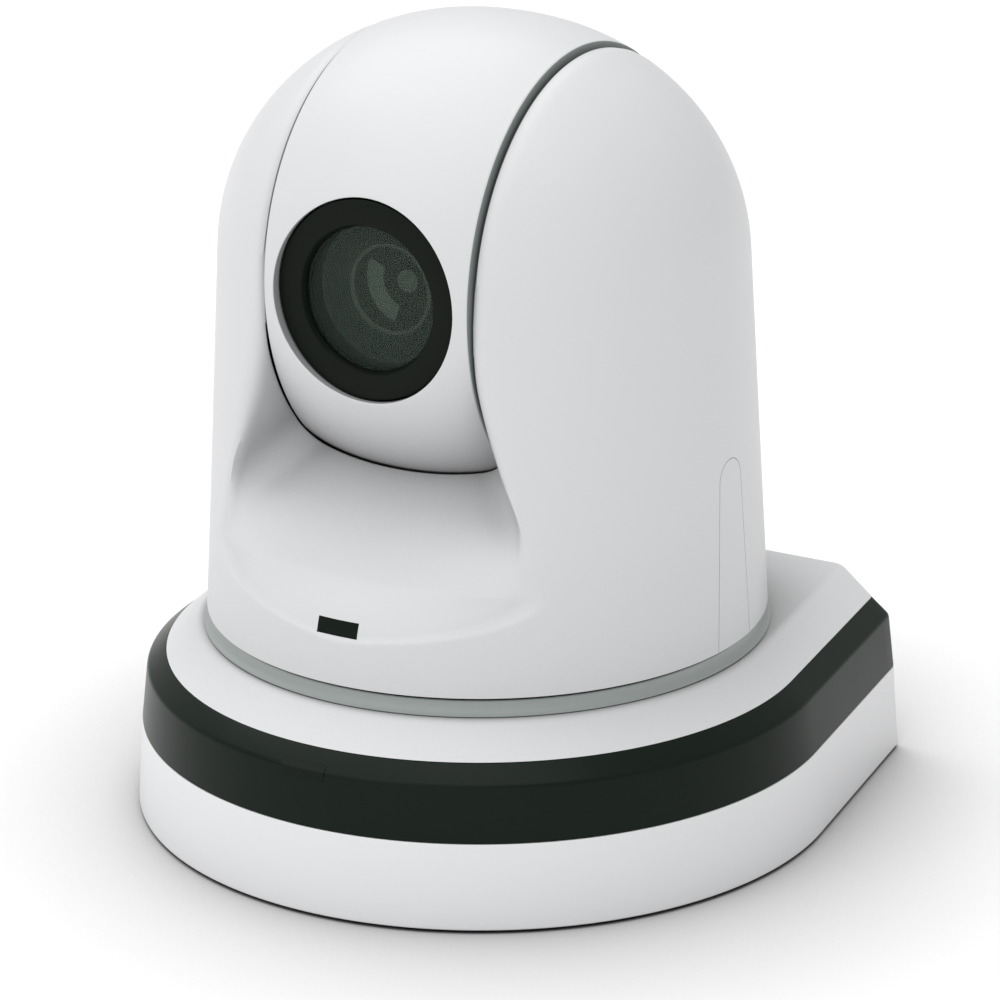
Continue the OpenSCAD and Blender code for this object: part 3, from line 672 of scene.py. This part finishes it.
def hollow_form(p):
    """Below zero in the hollow: in front of the apron and between the flared sides of the arms."""
    x, y, z = np.abs(p[..., 0]), -np.abs(p[..., 1]), p[..., 2]
    crown = WALL_CURVE * (1 - smooth_step(z, TILT_Z - 66.5 * MM, TILT_Z - 45.5 * MM))
    fall = APRON_TOP_Z - z
    toe = np.maximum(fall - TOE_FALL, 0)
    apron_y = APRON_TOP_Y - fall + TOE_SLOPE * np.sqrt(toe ** 2 + MM ** 2) + crown * x ** 2 / 2
    apron = (y - apron_y) / math.sqrt(2)
    from_axis = np.hypot(y, z - TILT_Z)
    closing = CORNER_CLOSING * np.maximum(TILT_Z - CORNER_FALL - z, 0) ** 3
    flare = (x - SLOT_HALF + closing - (from_axis - SEAM_RING) / FLARE) / math.hypot(1, 1 / FLARE)
    inner_fillet = 5 * MM + 2 * MM * smooth_step(z, TILT_Z - 58 * MM, TILT_Z - 38 * MM)
    return soft_max(apron, flare, inner_fillet)


def head_form(p):
    """Below zero inside the head. Its crease is crisp at mid height and softer above and below."""
    drop = np.clip((TILT_Z - p[..., 2]) / (60 * MM), 0, 1.2)
    middle = 1 - smooth_step(np.abs(p[..., 0]), 10 * MM, 34 * MM)
    low = 1 - smooth_step(p[..., 2], TILT_Z - 60 * MM, TILT_Z - 48 * MM)
    high = smooth_step(p[..., 2], TILT_Z - 44 * MM, TILT_Z - 22 * MM)
    soft = 0.5 * MM + 1.3 * MM * drop + 1.0 * MM * middle * low + 3.0 * MM * high
    return soft_max(outer_form(p), -hollow_form(p), soft)


def slope_of(form, p, step=0.02 * MM):
    """How a form grows along x, y and z."""
    slopes = [(form(p + step * axis) - form(p - step * axis)) / (2 * step) for axis in np.eye(3)]
    return np.stack(slopes, axis=-1)


def onto(form, p, rounds=12, reach=6 * MM):
    """Moves points onto the surface of a form, along its slope."""
    for _ in range(rounds):
        slope = slope_of(form, p)
        move = (form(p) / np.maximum((slope ** 2).sum(-1), 1e-6))[..., None] * slope
        length = np.maximum(np.linalg.norm(move, axis=-1, keepdims=True), 1e-12)
        p = p - move * np.minimum(1, reach / length)
    return p


def pressed(form, p, way, lift=4 * MM, rounds=60):
    """Presses points into a form from just outside it, each along its own way, until they lie on it."""
    q = p - way * lift
    for _ in range(rounds):
        q = q + way * (0.8 * form(q))[..., None]
    return q


# %% [markdown]
# ## The head's skin
# The sheet's top edge follows the block: along the apron's lip, round a small corner, and up the arm to the
# top. Its bottom edge is the round foot of the head. The columns of the sheet run from one to the other, and
# the rows are spread evenly along them, so that the highlights stay clean. A quarter is worked out, and the
# other three are its mirror images.

# %% edge of the sheet along the block
APRON_COLS, CORNER_COLS, ARM_COLS, SKIN_ROWS = 24, 12, 96, 104
QUARTER = APRON_COLS + CORNER_COLS + ARM_COLS
CORNER = 6 * MM
ARC_UNIT = 50 * MM
LIP_TURN = 47


def block_edge():
    """Places along the block, from the middle of the apron round to the top of the arm."""
    inner_x = SLOT_HALF - CORNER
    inner_v = math.radians(LIP_TURN) * ARC_UNIT - CORNER
    starts = []
    ways = []
    for i in range(APRON_COLS):
        starts.append((inner_x * i / APRON_COLS, inner_v))
        ways.append(0.0)
    for i in range(CORNER_COLS):
        starts.append((inner_x, inner_v))
        ways.append(math.pi / 2 * i / CORNER_COLS)
    for i in range(ARM_COLS + 1):
        starts.append((inner_x, inner_v + (-math.pi / 2 * ARC_UNIT - inner_v) * i / ARM_COLS))
        ways.append(math.pi / 2)
    starts = np.array(starts)
    ways = np.array(ways)

    def spot(reach):
        x = starts[:, 0] + reach * np.sin(ways)
        turn = (starts[:, 1] + reach * np.cos(ways)) / ARC_UNIT
        radius = dome_radius(x) + GAP * np.cos(ways)
        return np.stack([x, -radius * np.cos(turn), TILT_Z - radius * np.sin(turn)], axis=1)

    low = np.zeros(len(starts))
    high = np.full(len(starts), 14 * MM)
    for _ in range(40):
        middle = (low + high) / 2
        p = spot(middle)
        outside = np.maximum(hollow_form(p), p[:, 0] - SLOT_HALF) > 0
        high = np.where(outside, middle, high)
        low = np.where(outside, low, middle)
    return spot(low), ways


def spread_evenly(path, rows):
    """Resamples each column, path[row, column, xyz], at even steps of its length."""
    steps = np.linalg.norm(np.diff(path, axis=0), axis=2)
    length = np.concatenate([np.zeros((1, path.shape[1])), np.cumsum(steps, axis=0)])
    out = np.empty((rows + 1, path.shape[1], 3))
    for column in range(path.shape[1]):
        want = np.linspace(0, length[-1, column], rows + 1)
        for k in range(3):
            out[:, column, k] = np.interp(want, length[:, column], path[:, column, k])
    return out


def lifted(p):
    """The same places moved straight forward onto the uncut form."""
    low = np.zeros(len(p))
    high = np.full(len(p), 45 * MM)
    for _ in range(40):
        middle = (low + high) / 2
        outside = outer_form(p - middle[:, None] * np.array([0, 1, 0])) > 0
        high = np.where(outside, middle, high)
        low = np.where(outside, low, middle)
    return p - low[:, None] * np.array([0, 1, 0])


def press_ways(p):
    """Straight back where the hollow is, and square to the form elsewhere."""
    slope = slope_of(outer_form, p)
    square = -slope / np.linalg.norm(slope, axis=-1, keepdims=True)
    turn = np.arctan2(np.abs(p[..., 0]), np.abs(p[..., 1]))
    front = 1 - smooth_step(turn, math.radians(52), math.radians(72))
    front = front * (1 - smooth_step(p[..., 2], TILT_Z - 4 * MM, TILT_Z + 14 * MM))
    way = front[..., None] * np.array([0, 1.0, 0]) + (1 - front)[..., None] * square
    return way / np.linalg.norm(way, axis=-1, keepdims=True)


def quarter_skin():
    """A quarter of the skin, as path[row, column, xyz]: arcs on the uncut form, pressed into the hollow."""
    top, ways = block_edge()
    steps = np.linalg.norm(np.diff(top, axis=0), axis=1)
    share = np.concatenate([[0], np.cumsum(steps)]) / steps.sum()
    turn = math.pi / 2 * 2.7 * share / (1 + 1.7 * share)
    foot = np.stack([HEAD_R * np.sin(turn), -HEAD_R * np.cos(turn), np.full(len(turn), HEAD_Z)], axis=1)
    start = lifted(top)
    sideways = 0.3 + 0.7 * np.sin(ways) ** 2
    down = 0.5 * np.cos(ways) ** 2
    knee = start + (foot - start) * np.stack([sideways, sideways, down], axis=1)
    t = np.linspace(0, 1, 4 * SKIN_ROWS + 1)[:, None, None]
    path = (1 - t) ** 2 * start + 2 * t * (1 - t) * knee + t ** 2 * foot
    for _ in range(3):
        path[1:-1] = onto(outer_form, path[1:-1])
        path = spread_evenly(path, len(path) - 1)
    path = pressed(head_form, path, press_ways(path))
    path[-1] = foot
    for _ in range(2):
        path = spread_evenly(path, len(path) - 1)
    path = spread_evenly(path, SKIN_ROWS)
    path[1:-1] = onto(head_form, path[1:-1], 6, 0.4 * MM)
    path[:, 0, 0] = 0
    path[:, -1, 1] = 0
    return path


skin_quarter = quarter_skin()
print("skin rest error mm", round(float(np.abs(head_form(skin_quarter[1:-1])).max() / MM), 3))


def skin_place(column, row):
    """Column 0 is the middle of the front; the columns run round by +X, the rear and -X."""
    section = column // QUARTER % 4
    within = column % QUARTER
    index = np.where(section % 2 == 0, within, QUARTER - within)
    p = skin_quarter[row, index]
    sign_y = np.where((section == 1) | (section == 2), -1, 1)
    sign_x = np.where(section >= 2, -1, 1)
    return p * np.stack([sign_x, sign_y, np.ones(len(p))], axis=1)


skin = sheet_over("head_skin", 4 * QUARTER, SKIN_ROWS, skin_place)
weld(skin, 5e-6)
face_out(skin, (0, 0, 0.1))
print("skin", len(skin.data.polygons))

# %% [markdown]
# ## Parting the head
# The real head is moulded as a front and a rear cover that meet behind the tilt axis, with a flush insert
# low on each side and a small window for the status lamp. Each is cut from the one sheet with bisecting
# planes, so their surfaces match, and each then gets its own wall.

# %% cutting out the covers, inserts and lamp window
SPLIT_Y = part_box("head_rear_cover")[0].y - 0.1 * MM
insert_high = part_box("side_insert_right")[1]
lamp_low = Vector((-5.8 * MM, 0, 57.1 * MM))
lamp_high = Vector((4.2 * MM, 0, 60.3 * MM))
CRACK = 0.12 * MM
INSERT_FOOT = 7.3 * MM
INSERT_TOP_R = 4.8 * MM
INSERT_TOP_Z = insert_high.z - INSERT_TOP_R


def insert_planes(grow):
    """Planes round an insert: its two sloping sides and the facets of its round top."""
    rise = INSERT_TOP_Z - HEAD_Z
    planes = []
    for side in (-1, 1):
        normal = np.array([0, side * rise, INSERT_FOOT - INSERT_TOP_R])
        normal /= np.linalg.norm(normal)
        planes.append((np.array([0, side * INSERT_FOOT, HEAD_Z]) + normal * grow, normal))
    for angle in np.radians(np.arange(-75, 76, 15)):
        normal = np.array([0, math.sin(angle), math.cos(angle)])
        planes.append((np.array([0, 0, INSERT_TOP_Z]) + normal * (INSERT_TOP_R + grow), normal))
    return planes


def lamp_planes(grow):
    """Planes round the four edges of the lamp window."""
    planes = []
    for side in (-1, 1):
        edge_x = lamp_high.x if side > 0 else lamp_low.x
        edge_z = lamp_high.z if side > 0 else lamp_low.z
        planes.append((np.array([edge_x + side * grow, 0, 0]), np.array([side, 0.0, 0.0])))
        planes.append((np.array([0, 0, edge_z + side * grow]), np.array([0, 0.0, side])))
    return planes


def cut_out(obj, planes, near, grown):
    """Removes from a sheet what lies inside the planes, in the region near."""
    for point, normal in planes:
        cut(obj, point, normal, keep_low=False, faces=near)
    inside = [(Vector(p), Vector(n)) for p, n in grown]
    drop_faces(obj, lambda c: near(c) and all((c - p).dot(n) < 0 for p, n in inside))


def kept_inside(obj, planes, near):
    """Keeps of a sheet only what lies inside the planes, in the region near."""
    drop_faces(obj, lambda c: not near(c))
    for point, normal in planes:
        cut(obj, point, normal)


def near_insert(side):
    return lambda c: c.x * side > 45 * MM and abs(c.y) < 12 * MM and c.z < insert_high.z + 3 * MM


def near_lamp(c):
    return c.y < -55 * MM and abs(c.x) < 9 * MM and lamp_low.z - 4 * MM < c.z < lamp_high.z + 4 * MM


covers = copy_of(skin, "covers")
for side in (-1, 1):
    cut_out(covers, insert_planes(CRACK / 2), near_insert(side), insert_planes(CRACK / 2))
cut_out(covers, lamp_planes(CRACK / 2), near_lamp, lamp_planes(CRACK / 2))
front_cover = copy_of(covers, "front_cover")
cut(front_cover, (0, SPLIT_Y - CRACK / 2, 0), (0, 1, 0))
rear_cover = covers
rear_cover.name = "rear_cover"
cut(rear_cover, (0, SPLIT_Y + CRACK / 2, 0), (0, -1, 0))
inserts = {}
for side, word in ((-1, "left"), (1, "right")):
    inserts[word] = copy_of(skin, "side_insert_panel_" + word)
    kept_inside(inserts[word], insert_planes(-CRACK / 2), near_insert(side))
lamp = copy_of(skin, "status_lamp_window")
kept_inside(lamp, lamp_planes(-CRACK / 2), near_lamp)
bpy.data.objects.remove(skin)
print("covers, inserts and lamp window cut out of one sheet")


# %% walls, broken edges and finishes of the head
COVER_WALL = 2.0 * MM
INSERT_WALL = 1.8 * MM


def on_block_edge(a, b):
    """True on the outer edge that faces the block."""
    middle = (a + b) / 2
    from_axis = math.hypot(middle.y, middle.z - TILT_Z)
    radius = float(dome_radius(middle.x))
    return abs(middle.x) < SLOT_HALF + 0.3 * MM and radius - 0.5 * MM < from_axis < radius + GAP + 0.25 * MM


def faces_the_block(face):
    """True for the sides of the slot and for the narrow faces under the covers' edge."""
    centre = face.center
    near = abs(centre.x) < SLOT_HALF + 0.06 * MM and centre.z > 80 * MM
    inwards = face.normal.x * centre.x < -0.9 * abs(centre.x)
    from_axis = math.hypot(centre.y, centre.z - TILT_Z)
    return near and (inwards or from_axis < float(dome_radius(centre.x)) + 0.3 * MM)


def clear_of_slot(cover):
    """Holds the inner rim of a cover back to the sides of the slot: the dome's slope carries it inwards."""
    for vertex in cover.data.vertices:
        if vertex.co.z > TILT_Z and abs(vertex.co.x) < SLOT_HALF:
            vertex.co.x = math.copysign(SLOT_HALF, vertex.co.x)


for cover in (front_cover, rear_cover):
    weld(cover, 0.02 * MM)
    thicken(cover, COVER_WALL)
    clear_of_slot(cover)
    found = bevel_edges(cover, 0.3 * MM, 3, on_block_edge)
    smooth(cover, 30)
    print(cover.name, "edges rounded", found)
for panel in (*inserts.values(), lamp):
    weld(panel, 0.02 * MM)
    thicken(panel, INSERT_WALL)
    smooth(panel, 30)
finish_piece(front_cover, "head", ["head_front_cover"], white_plastic)
finish_piece(rear_cover, "head", ["head_rear_cover"], white_plastic)

# Painted shade on the faces of the slot beside the block.
for cover in (front_cover, rear_cover):
    paint(cover, gap_shade_grey, faces_the_block)
for word, panel in inserts.items():
    finish_piece(panel, "head", ["side_insert_" + word], white_plastic)
finish_piece(lamp, "head", ["status_lamp"], window_black)

# %% [markdown]
# ## The tilting block
# The block is turned about the tilt axis, with flat ends that face the arms. A lens seat is sunk into its
# front. The turned sheet is opened there, and a ring of faces is laid between the opening and the seat, so
# that the seat's round edge is a clean loop that can be rounded.

# %% turned sheet of the block
BLOCK_COLS, TURN_ROWS = 32, 256
EDGE_SOFT = 0.6 * MM
SEAT_ROWS = 26
SEAT_LIP = 0.3 * MM
SHAFT_HOLE = 6.6 * MM
bezel_low, bezel_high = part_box("lens_bezel")
LENS_Z = (bezel_low.z + bezel_high.z) / 2
BEZEL_R = bezel_high.x
BEZEL_Y = bezel_low.y
SEAT_Y = bezel_high.y + 0.1 * MM
SEAT_R = BEZEL_R + 0.4 * MM


def block_section():
    """Half-section of the block from one shaft hole to the other, as (place along x, radius)."""
    flat = BLOCK_HALF - EDGE_SOFT
    crown = [(x, float(dome_radius(x))) for x in np.linspace(-flat, flat, BLOCK_COLS + 1)]
    rim = float(dome_radius(BLOCK_HALF))
    turn = np.linspace(0, math.pi / 2, 5)[1:]
    start_r = crown[-1][1]
    edge = [(flat + EDGE_SOFT * math.sin(t), start_r - (start_r - rim + EDGE_SOFT) * (1 - math.cos(t)))
            for t in turn]
    cap = [(BLOCK_HALF, edge[-1][1] + (SHAFT_HOLE - edge[-1][1]) * t) for t in np.linspace(0, 1, 9)[1:]]
    right = crown + edge + cap
    left = [(-x, r) for x, r in reversed(edge + cap)]
    return np.array(left + right)


section = block_section()
turn_angle = 2 * math.pi * np.arange(TURN_ROWS + 1) / TURN_ROWS


def block_place(column, row):
    """Column numbers run across the block, and row numbers round the tilt axis."""
    x, radius = section[column, 0], section[column, 1]
    angle = turn_angle[row]
    return np.stack([x, -radius * np.cos(angle), TILT_Z + radius * np.sin(angle)], axis=1)


block = sheet_over("block_skin", len(section) - 1, TURN_ROWS, block_place)
weld(block)


# %% lens seat laid into the front
def on_dome(q):
    """Places (x, z) moved forward onto the front of the block."""
    reach = dome_radius(q[:, 0]) ** 2 - (q[:, 1] - TILT_Z) ** 2
    return np.column_stack([q[:, 0], -np.sqrt(np.maximum(reach, 0)), q[:, 1]])


def seat_loops():
    """Loops from the floor of the seat, up its wall, over its edge and out to the opening in the sheet."""
    flat = BLOCK_HALF - EDGE_SOFT
    xs = np.linspace(-flat, flat, BLOCK_COLS + 1)
    angles = turn_angle[:SEAT_ROWS + 1]
    angles = np.concatenate([-angles[:0:-1], angles])
    up = [(flat, a) for a in angles]
    across = [(x, angles[-1]) for x in xs[::-1]][1:]
    down = [(-flat, a) for a in angles[::-1]][1:]
    back = [(x, angles[0]) for x in xs][1:]
    outer = np.array(up + across + down + back)
    radius = dome_radius(outer[:, 0])
    rim = np.stack([outer[:, 0], TILT_Z + radius * np.sin(outer[:, 1])], axis=1)
    count = len(rim)
    way = np.arctan2(rim[:, 1] - LENS_Z, rim[:, 0])
    even = np.linspace(way[0], way[0] + 2 * math.pi, count)
    blend = 0.5 * np.unwrap(way) + 0.5 * even
    ring = np.stack([np.cos(blend), np.sin(blend)], axis=1)
    centre = np.array([0, LENS_Z])
    start = centre + ring * (SEAT_R + SEAT_LIP)
    loops = []
    floor_in = BEZEL_R - 4 * MM
    for r in np.linspace(floor_in, SEAT_R, 4):
        q = centre + ring * r
        loops.append(np.column_stack([q[:, 0], np.full(count, SEAT_Y), q[:, 1]]))
    edge = on_dome(start)
    top = on_dome(centre + ring * SEAT_R)
    top_wall = top + np.array([0, SEAT_LIP, 0])
    loops.append(top_wall)
    for t in np.linspace(0, 1, 5)[1:-1]:
        loops.append((1 - t) ** 2 * top_wall + 2 * t * (1 - t) * top + t ** 2 * edge)
    for t in np.linspace(0, 1, 13):
        loops.append(on_dome(start + (rim - start) * t))
    return np.array(loops)


seat = seat_loops()
seat_sheet = sheet_over("seat_sheet", seat.shape[1] - 1, len(seat) - 1, lambda c, r: seat[r, c])
opening_turn = turn_angle[SEAT_ROWS]


def in_opening(c):
    """True for the part of the sheet that the seat takes the place of."""
    angle = math.atan2(c.z - TILT_Z, -c.y)
    return c.y < -10 * MM and abs(c.x) < BLOCK_HALF - EDGE_SOFT and abs(angle) < opening_turn


drop_faces(block, in_opening)
block = join([block, seat_sheet], "block_skin")
weld(block, 4e-6)
recalculate(block)
face_out(block, (0, 0, TILT_Z))
print("block", len(block.data.polygons))

# %% front and rear shells of the block
BLOCK_WALL = 0.45 * MM
BLOCK_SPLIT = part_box("block_rear_shell")[0].y - 0.1 * MM
front_block = copy_of(block, "block_front")
cut(front_block, (0, BLOCK_SPLIT - CRACK / 2, 0), (0, 1, 0))
rear_block = block
rear_block.name = "block_rear"
cut(rear_block, (0, BLOCK_SPLIT + CRACK / 2, 0), (0, -1, 0))
# The block's ends get painted shade: grey, so that the seam beside the arms looks dark.
for shell, node in ((front_block, "block_front_shell"), (rear_block, "block_rear_shell")):
    thicken(shell, BLOCK_WALL)
    smooth(shell, 40)
    finish_piece(shell, "block", [node], white_plastic)
    paint(shell, seam_shade_grey, lambda f: abs(f.center.x) > BLOCK_HALF - 0.12 * MM)

# %% [markdown]
# ## The lens
# The bezel is a flat black ring with a turned step that leads in to the protective glass. Behind the glass
# are a rounded front element, the ring that retains it, and an iris with one blade and a pupil. All of them
# are turned, so each is a profile and a spin. Their depth behind the glass makes a lens look like one.

# %% bezel, glass and barrel
BEZEL_IN = BEZEL_R - 5.7 * MM
glass_low, glass_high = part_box("lens_glass")
GLASS_R = glass_high.x
lens_centre = (0, 0, LENS_Z)
bezel_keys = [((BEZEL_R, BEZEL_Y), 0.3 * MM),
              ((BEZEL_R, SEAT_Y - 0.1 * MM), 0),
              ((BEZEL_IN - 0.6 * MM, SEAT_Y - 0.1 * MM), 0),
              ((BEZEL_IN - 0.6 * MM, glass_high.y + 0.05 * MM), 0),
              ((GLASS_R + 0.1 * MM, glass_high.y + 0.05 * MM), 0),
              ((GLASS_R + 0.1 * MM, glass_low.y - 0.1 * MM), 0.1 * MM),
              ((BEZEL_IN - 0.3 * MM, glass_low.y - 0.35 * MM), 0.1 * MM),
              ((BEZEL_IN + 0.3 * MM, BEZEL_Y), 0.25 * MM)]
bezel_profile = [tuple(p) for p in broken(bezel_keys, steps=3)][:-1]
bezel = turned("lens_bezel_ring", bezel_profile, 192, True, lens_centre)
smooth(bezel)
finish_piece(bezel, "block", ["lens_bezel"], bezel_black)


# %% protective glass and front element
def disc_profile(radius, front, back, bulge, steps=16):
    """Half-section of a round glass: domed in front by bulge, flat behind."""
    rows = [(radius * math.sin(t), front - bulge * math.cos(t)) for t in np.linspace(0, math.pi / 2, steps)]
    return rows + [(radius, back), (0.0, back)]


port_profile = [(0.0, glass_low.y), (GLASS_R - 0.15 * MM, glass_low.y), (GLASS_R, glass_low.y + 0.15 * MM),
                (GLASS_R, glass_high.y), (0.0, glass_high.y)]
port = turned("protective_glass", port_profile, 128, True, lens_centre)
smooth(port)
finish_piece(port, "block", ["lens_glass"], port_glass)

element_low, element_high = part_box("front_element")
element_profile = disc_profile(element_high.x - 0.3 * MM, element_low.y + 1.6 * MM,
                               element_low.y + 3.2 * MM, 1.5 * MM)
element = turned("front_lens", element_profile, 128, True, lens_centre)
smooth(element)
finish_piece(element, "block", ["front_element"], element_glass)


# %% what is seen inside the barrel
def ring_section(inner, outer, front, back, edge=0.15 * MM):
    """Half-section of a flat ring with broken front edges."""
    keys = [((inner, front), edge), ((inner, back), 0), ((outer, back), 0), ((outer, front), edge)]
    return [tuple(p) for p in broken(keys, steps=2)][:-1]


TUBE_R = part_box("lens_barrel")[1].x - 2.2 * MM
BLADE_TURNS = ((158, -1), (249, 1))
# The parts behind the glass glow faintly: painted light for the reflections inside a lens.
lens_parts = (
    ("lens_retainer", ring_section(9.3 * MM, 9.9 * MM, -38.7 * MM, -37.9 * MM), 128, lens_rim_glow),
    ("lens_shelf", ring_section(9.85 * MM, TUBE_R, -38.2 * MM, -37.4 * MM), 128, lens_deep_glow),
    ("lens_tube", ring_section(TUBE_R - 0.6 * MM, TUBE_R, -40.5 * MM, -30.4 * MM), 128, lens_deep_glow),
    ("lens_iris", ring_section(1.2 * MM, TUBE_R, -31.0 * MM, -30.4 * MM), 96, lens_deep_glow),
    ("lens_pupil", disc_profile(2.4 * MM, -31.6 * MM, -31.1 * MM, 0.4 * MM, 8), 64, lens_spot_glow),
    ("lens_blade", ring_section(6.2 * MM, 9.9 * MM, -31.9 * MM, -31.2 * MM), 120, lens_blade_glow))


def cut_to_blade(ring):
    """Leaves a quarter of a ring, and closes its ends."""
    for angle, side in BLADE_TURNS:
        way = math.radians(angle)
        cut(ring, (0, 0, LENS_Z), Vector((-math.sin(way) * side, 0, math.cos(way) * side)))
    edited(ring, lambda: bpy.ops.mesh.fill_holes(sides=0))


for name, profile, steps, material in lens_parts:
    part = turned(name, profile, steps, True, lens_centre)
    if name == "lens_blade":
        cut_to_blade(part)
    smooth(part)
    finish_piece(part, "block", [], material)

# %% [markdown]
# ## The parts that keep their CAD shape
# Turned, sawn and stamped parts already have their true form in the CAD model, so they only need a finish.

# %% finishes for the carried-over nodes
def dress(material, *names):
    """Gives CAD nodes their finish; their meshes are left alone."""
    for name in names:
        slots = nodes[name].data.materials
        slots.clear()
        slots.append(material)


dress(sheet_steel, "bottom_plate", "plate_screws", "board_spacers", "frame_posts", "pan_bearing", "pan_shaft",
      "tilt_bearing_left", "tilt_bearing_right", "cover_screws", "block_screws", "tilt_shaft_left",
      "tilt_shaft_right", "guide_rods", "tripod_insert")
dress(cast_metal, "pan_frame", "yoke_base", "yoke_left", "yoke_right", "lens_frame")
dress(rubber, "foot_pads")
dress(panel_dark, "connector_panel")
dress(jack_black, "dc_jack", "audio_jacks")
dress(plated, "lan_jack", "serial_jack", "usb_port", "hdmi_port", "sdi_connector")
dress(solder_mask, "main_board", "head_board", "sensor_board")
dress(window_black, "remote_window", "image_sensor")
dress(motor_case, "pan_motor", "tilt_motor")
dress(brass, "pan_pinion", "tilt_pinion")
dress(gear_resin, "pan_gear", "tilt_gear")
dress(barrel_black, "lens_barrel", "zoom_group", "focus_group")
print("finishes in use", len([m for m in bpy.data.materials if m.users]))

# %% [markdown]
# ## Studio
# A pale floor that runs into a white world, and four very wide suns: the main one from above and a little to
# the left, and three weaker ones that fill the front. The camera is the only other thing: it stands where it
# sees the front and the right side, from a little above.

# %% floor and world
fresh()
bpy.ops.mesh.primitive_plane_add(size=8, location=(0, 0, 0))
floor = bpy.context.active_object
floor.name = "studio_floor"
floor_finish = finish("floor_paint", (0.88, 0.88, 0.88), 0.9, None, 0.002, specular=0.0)
# Painted shadow on the floor, darker close to the camera.
painted_hollow_shade(floor_finish, 90 * MM, 1.0)
floor.data.materials.append(floor_finish)

WORLD_LIGHT = 0.63
world = bpy.data.worlds.new("studio")
bpy.context.scene.world = world
world.use_nodes = True
world.node_tree.nodes["Background"].inputs["Color"].default_value = (1, 1, 1, 1)
world.node_tree.nodes["Background"].inputs["Strength"].default_value = WORLD_LIGHT


# %% lights
def soft_sun(name, towards, strength, spread):
    """A very wide sun: even light from one side, with a soft shadow that is the same everywhere."""
    data = bpy.data.lights.new(name, "SUN")
    data.energy = strength
    data.angle = math.radians(spread)
    light = bpy.data.objects.new(name, data)
    light.rotation_euler = Vector(towards).to_track_quat("-Z", "Y").to_euler()
    light.location = Vector(towards) * -0.5
    bpy.context.scene.collection.objects.link(light)


soft_sun("overhead", (0.42, -0.25, -1), 1.3, 60)
soft_sun("top_front", (-0.17, 0.29, -0.94), 0.55, 40)
soft_sun("front", (0.4, 0.8, -0.9), 0.5, 40)
soft_sun("low", (-0.25, 1, -0.12), 0.36, 60)

# %% camera
CAMERA_TURN, CAMERA_RISE, CAMERA_ROLL = 30.7755, 19.4785, -0.6432
CAMERA_AWAY, CAMERA_RIGHT, CAMERA_UP = 0.91318, 0.00316, -0.01058
CAMERA_AIM_Z = 0.08
CAMERA_LENS = 147.75
turn, rise, roll = (math.radians(a) for a in (CAMERA_TURN, CAMERA_RISE, CAMERA_ROLL))
back = Vector((math.sin(turn) * math.cos(rise), -math.cos(turn) * math.cos(rise), math.sin(rise)))
level = Vector((math.cos(turn), math.sin(turn), 0))
upright = back.cross(level)
right = math.cos(roll) * level + math.sin(roll) * upright
up = math.cos(roll) * upright - math.sin(roll) * level
camera_data = bpy.data.cameras.new("studio_camera")
camera_data.sensor_width = 36
camera_data.lens = CAMERA_LENS
camera = bpy.data.objects.new("studio_camera", camera_data)
camera.matrix_world = Matrix((
    (right.x, up.x, back.x, 0),
    (right.y, up.y, back.y, 0),
    (right.z, up.z, back.z, 0),
    (0, 0, 0, 1)))
camera.location = Vector((0, 0, CAMERA_AIM_Z)) + back * CAMERA_AWAY + right * CAMERA_RIGHT + up * CAMERA_UP
bpy.context.scene.collection.objects.link(camera)
bpy.context.scene.camera = camera
bpy.context.scene.view_settings.view_transform = "Standard"
